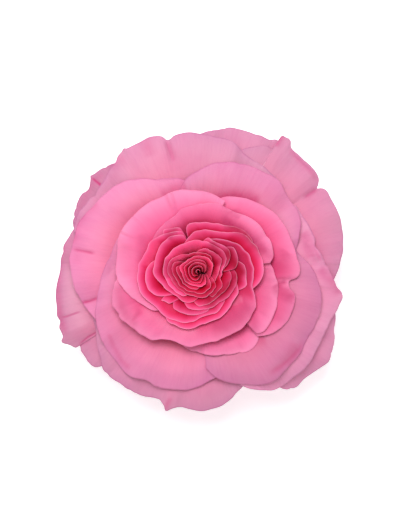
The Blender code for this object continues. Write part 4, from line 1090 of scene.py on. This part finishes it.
settled_points, settled_faces = [], []
for name, grid in grids.items():
    w, g, run = shapes[name]
    kind = kind_of(name)
    lift, stain_and_painted_shading = relief_of(name, grid, g, free[name])
    lift = lift + undulation(name, grid, w, g, run)
    if kind == "heart":
        up, down = (np.maximum(0.42 * (side - THICKNESS[kind]), 0.02) for side in free[name])
        lift = np.where(lift > 0, up * np.tanh(lift / up), down * np.tanh(lift / down))
        moved = grid + normals_of(grid) * lift[..., None]
    else:
        below = BVHTree.FromPolygons(np.concatenate(settled_points).tolist(), np.concatenate(settled_faces).tolist()) if settled_points else None
        # One that stands among petals placed later keeps clear of those too.
        moved = draped(name, grid, lift, free[name][0], free[name][1] if "tuck" in PETALS[name] else None, below, THICKNESS[kind], w, g, run)
        n, k = moved.shape[:2]
        index = sum(len(p) for p in settled_points) + np.arange(n * k).reshape(n, k)
        settled_points.append(moved.reshape(-1, 3))
        settled_faces.append(np.stack([index[:-1, :-1], index[1:, :-1], index[1:, 1:], index[:-1, 1:]], axis=-1).reshape(-1, 4))
    points, faces, facts, flow, both = thin_solid(crumpled(moved), THICKNESS[kind], w, g, run)
    facts["stain_and_painted_shading"] = both(stain_and_painted_shading)
    facts["tone"] = np.full(len(points), PETAL_TONES_AND_PAINTED_LIGHT.get(name, 1.0))
    if kind in RANKS:
        rank = smooth(np.hypot(grid[:, -1, 0], grid[:, -1, 1]), *RANKS[kind]) + PAINTED_LIGHT_BY_PETAL.get(name, 0.0)
        facts["rank"] = both(np.broadcast_to(np.clip(rank, 0, 1)[:, None], grid.shape[:2]))
    if name == "petal_third_3":
        # Painted light: its light zone is wider than that of the others, for the stronger light on this petal's rim.
        facts["rim_mm"] = 0.66 * facts["rim_mm"]
    if kind == "third" and "tuck" in PETALS[name]:
        # Painted shade: where it stands close to the axis, in the shade of its neighbours, all of it but the rim is of
        # the deeper red.
        near = 1 - smooth(np.hypot(grid[:, -1, 0], grid[:, -1, 1]), 21.0, 27.0)
        facts["rim_mm"] = facts["rim_mm"] + 13.0 * both(near[:, None] * smooth(shapes[name][1], 1.0, 0.93)[None, :])
    if "tuck" in PETALS[name]:
        # Painted shade: the ends that slip under a neighbour take the deeper colour of the blade at that height, not
        # the margin's lighter colour.
        facts["rim_mm"] = facts["rim_mm"] + 4.0 * both(np.broadcast_to(sunk(run, PETALS[name])[:, None], grid.shape[:2]))
    make_piece("rose_" + name, points, faces, facts, flow, MATERIALS[kind], [name],
               float(seed_of(name).uniform(0, 400)))


# ---------------------------------------------------------------- green parts

# Radius and height down the outside of the hip, from the sepals to the cut end.
HIP = [(8.9, -2.1), (8.8, -3.0), (8.5, -4.2), (7.6, -5.2), (7.3, -7.2), (6.9, -9.6), (6.0, -12.0),
       (4.6, -14.0), (3.3, -15.4), (2.8, -16.6), (2.75, -18.3), (2.5, -18.6)]
SEPALS = 5
SEPAL_TURN = 20.0
SEPAL_WIDTH = 9.0
SEPAL_THICKNESS = 0.8
SEPAL_PATH = [(9.3, -3.4), (16.0, -1.6), (25.0, -17.4), (34.0, -18.2)]


def fine_profile(points, steps):
    """A smooth line through profile points."""
    p = np.array(points, float)
    ends = np.vstack([2 * p[0] - p[1], p, 2 * p[-1] - p[-2]])
    t = np.linspace(0, 1, steps, endpoint=False)[:, None]
    out = []
    for i in range(1, len(ends) - 2):
        a, b, c, d = ends[i - 1:i + 3]
        out.append(0.5 * (2 * b + (c - a) * t + (2 * a - 5 * b + 4 * c - d) * t**2 + (3 * b - a - 3 * c + d) * t**3))
    return np.vstack(out + [p[-1:]])


def receptacle():
    levels = np.linspace(0.02, 1.05, 24)
    r, z = sheet(levels, np.zeros_like(levels))
    dr, dz = np.gradient(r), np.gradient(z)
    length = np.hypot(dr, dz)
    r, z = r + RECEPTACLE_GAP * dz / length, z - RECEPTACLE_GAP * dr / length
    dome = np.column_stack([np.maximum(r, 0.4), z])
    hip = fine_profile(HIP, 6)
    hip[:, 0] = np.clip(hip[:, 0], 0.3, 9.0)
    hip[:, 1] = np.clip(hip[:, 1], -18.6, None)
    cut = np.array([(2.3, -18.6), (1.7, -18.52), (1.0, -18.45), (0.4, -18.5)])
    profile = np.vstack([dome, hip, cut])
    n = 128
    a = 2 * math.pi * np.arange(n) / n
    ribs = 1 + 0.012 * np.sin(10 * a)[None, :] * smooth(-profile[:, 1], 4.0, 8.0)[:, None] * (1 - smooth(-profile[:, 1], 13.0, 16.0))[:, None]
    ribs = ribs + 0.006 * np.sin(3 * a + 0.7)[None, :]
    radius = profile[:, 0][:, None] * ribs
    points = np.stack([radius * np.cos(a), radius * np.sin(a), np.broadcast_to(profile[:, 1][:, None], radius.shape)], axis=-1).reshape(-1, 3)
    points = np.vstack([points, [(0, 0, profile[0, 1])], [(0, 0, profile[-1, 1])]])
    rows = len(profile)
    faces = []
    for row in range(rows - 1):
        for i in range(n):
            j = (i + 1) % n
            faces.append((row * n + i, (row + 1) * n + i, (row + 1) * n + j, row * n + j))
    caps = [(rows * n, i, (i + 1) % n) for i in range(n)]
    caps += [(rows * n + 1, (rows - 1) * n + (i + 1) % n, (rows - 1) * n + i) for i in range(n)]
    run = np.concatenate([[0], np.cumsum(np.linalg.norm(np.diff(profile, axis=0), axis=1))])
    along = np.concatenate([np.repeat(run / run[-1], n), [0.0, 1.0]])
    flow = np.column_stack([np.concatenate([np.tile(a * 7.0, rows), [0, 0]]), np.concatenate([np.repeat(run * 0.25, n), [0, 0]])])
    facts = {"along": along, "edge_mm": np.full(len(points), 5.0)}
    return points, faces + caps, facts, flow


def sepal(turn, rng):
    nu, ng = 26, 84
    t = np.linspace(0, 1, ng + 1)
    p = np.array(SEPAL_PATH)
    b = np.stack([(1 - t) ** 3, 3 * t * (1 - t) ** 2, 3 * t**2 * (1 - t), t**3], axis=1) @ p
    half = 0.5 * SEPAL_WIDTH * (0.52 + 0.48 * smooth(t, 0.0, 0.3)) * (1 - smooth(t, 0.28, 1.06)) + 0.25
    u = np.linspace(-1, 1, nu + 1)
    wave = waves(rng, t * 30.0, (9.0, 4.5), (0.35, 0.18)) * smooth(t, 0.1, 0.4) * (1 - smooth(t, 0.85, 1.0))
    side = u[:, None] * half[None, :]
    lift = 0.10 * half[None, :] * (u[:, None] ** 2) - 0.16 * np.exp(-(side / 0.5) ** 2) * (1 - smooth(t, 0.6, 1.0))[None, :]
    lift = lift + (wave[None, :] * u[:, None] ** 3) * 0.6
    r = b[None, :, 0] + 0 * side
    z = np.maximum(b[None, :, 1] + lift, -18.6 + 0.5 * SEPAL_THICKNESS)
    r = np.sqrt(np.maximum(r**2 - 0.35 * side**2, 1.0))
    c, s = math.cos(turn), math.sin(turn)
    grid = np.stack([r * c - side * s, r * s + side * c, z], axis=-1)
    return grid, u, t


HIP_GREEN = green_material("hip_green", srgb(150, 170, 92), srgb(96, 124, 56), srgb(150, 90, 70), 0.0, 0.05, srgb(70, 4, 14))
SEPAL_GREEN = green_material("sepal_green", srgb(122, 150, 80), srgb(66, 98, 44), srgb(140, 70, 62), 0.55, 0.25)
points, faces, facts, flow = receptacle()
mesh_faces = faces
p3 = np.array([f[:3] for f in mesh_faces])
if np.einsum("ij,ij->i", points[p3[:, 0]], np.cross(points[p3[:, 1]], points[p3[:, 2]])).sum() < 0:
    mesh_faces = [tuple(reversed(f)) for f in mesh_faces]

make_piece("rose_receptacle", points, mesh_faces, facts, flow, HIP_GREEN, ["receptacle"], 3.0)
for k in range(SEPALS):
    rng = seed_of(f"sepal {k}")
    grid, u, t = sepal(math.radians(SEPAL_TURN + 360.0 * k / SEPALS), rng)
    run = np.linspace(0, SEPAL_WIDTH, len(u))
    points, faces, facts, flow, both = thin_solid(grid, SEPAL_THICKNESS, u, np.clip(t + 0.7, 0, 1), run)
    facts["along"] = both(np.broadcast_to(t[None, :], grid.shape[:2]))
    make_piece(f"rose_sepal_{k + 1}", points, faces, facts, flow, SEPAL_GREEN, [f"sepal_{k + 1}"], 7.0 * k)


# ---------------------------------------------------------------- floor, light, camera

def floor():
    n, rings = 96, (0.0, 0.12, 0.3, 0.8, 2.0, 6.0)
    points, faces = [(0.0, 0.0, 0.0)], []
    for r in rings[1:]:
        points += [(r * math.cos(2 * math.pi * i / n), r * math.sin(2 * math.pi * i / n), 0.0) for i in range(n)]
    faces += [(0, 1 + i, 1 + (i + 1) % n) for i in range(n)]
    for row in range(len(rings) - 2):
        for i in range(n):
            a, b = 1 + row * n + i, 1 + row * n + (i + 1) % n
            faces.append((a, a + n, b + n, b))
    mesh = bpy.data.meshes.new("floor")
    mesh.from_pydata(points, [], faces)
    mesh.update()
    m = Nodes("floor")
    where = m.add("ShaderNodeTexCoord").outputs["Object"]
    tone = m.ramp(m.noise(where, 14.0, 3.0, 0.5), [(0.3, (0.90, 0.90, 0.90)), (0.7, (0.93, 0.93, 0.93))])
    shader = m.add("ShaderNodeBsdfPrincipled")
    m.put(tone, shader.inputs["Base Color"])
    shader.inputs["Roughness"].default_value = 0.9
    shader.inputs["Specular IOR Level"].default_value = 0.1
    m.put(tone, shader.inputs["Emission Color"])
    shader.inputs["Emission Strength"].default_value = 0.42
    m.tree.links.new(shader.outputs[0], m.add("ShaderNodeOutputMaterial").inputs["Surface"])
    mesh.materials.append(m.material)
    item = bpy.data.objects.new("floor", mesh)
    bpy.context.scene.collection.objects.link(item)


def light(name, at, size, power, towards=(0.0, 0.0, 0.03)):
    data = bpy.data.lights.new(name, "AREA")
    data.shape = "DISK"
    data.size = size
    data.energy = power
    item = bpy.data.objects.new(name, data)
    bpy.context.scene.collection.objects.link(item)
    item.location = at
    item.rotation_euler = (Vector(towards) - Vector(at)).to_track_quat("-Z", "Y").to_euler()


floor()
scene = bpy.context.scene
world = bpy.data.worlds.new("studio")
scene.world = world
world.use_nodes = True
back = world.node_tree.nodes.get("Background") or world.node_tree.nodes.new("ShaderNodeBackground")
back.inputs[0].default_value = (1.0, 1.0, 1.0, 1.0)
back.inputs[1].default_value = 0.66
light("key", (-0.16, 0.50, 1.35), 0.8, 16.6)

# The photograph looks straight down on the bloom: 520 pixels of its height are 0.208 m at the petals' middle height.
DISTANCE = 1.6
camera_data = bpy.data.cameras.new("camera")
camera = bpy.data.objects.new("camera", camera_data)
scene.collection.objects.link(camera)
camera.location = (0.00365, 0.00445, 0.0336 + DISTANCE)
camera.rotation_euler = (0.0, 0.0, 0.0)
camera_data.sensor_width = 36.0
camera_data.lens = 36.0 * DISTANCE / 0.208
camera_data.clip_start, camera_data.clip_end = 0.05, 50.0
scene.camera = camera
scene.view_settings.view_transform = "Standard"
scene.view_settings.look = "None"
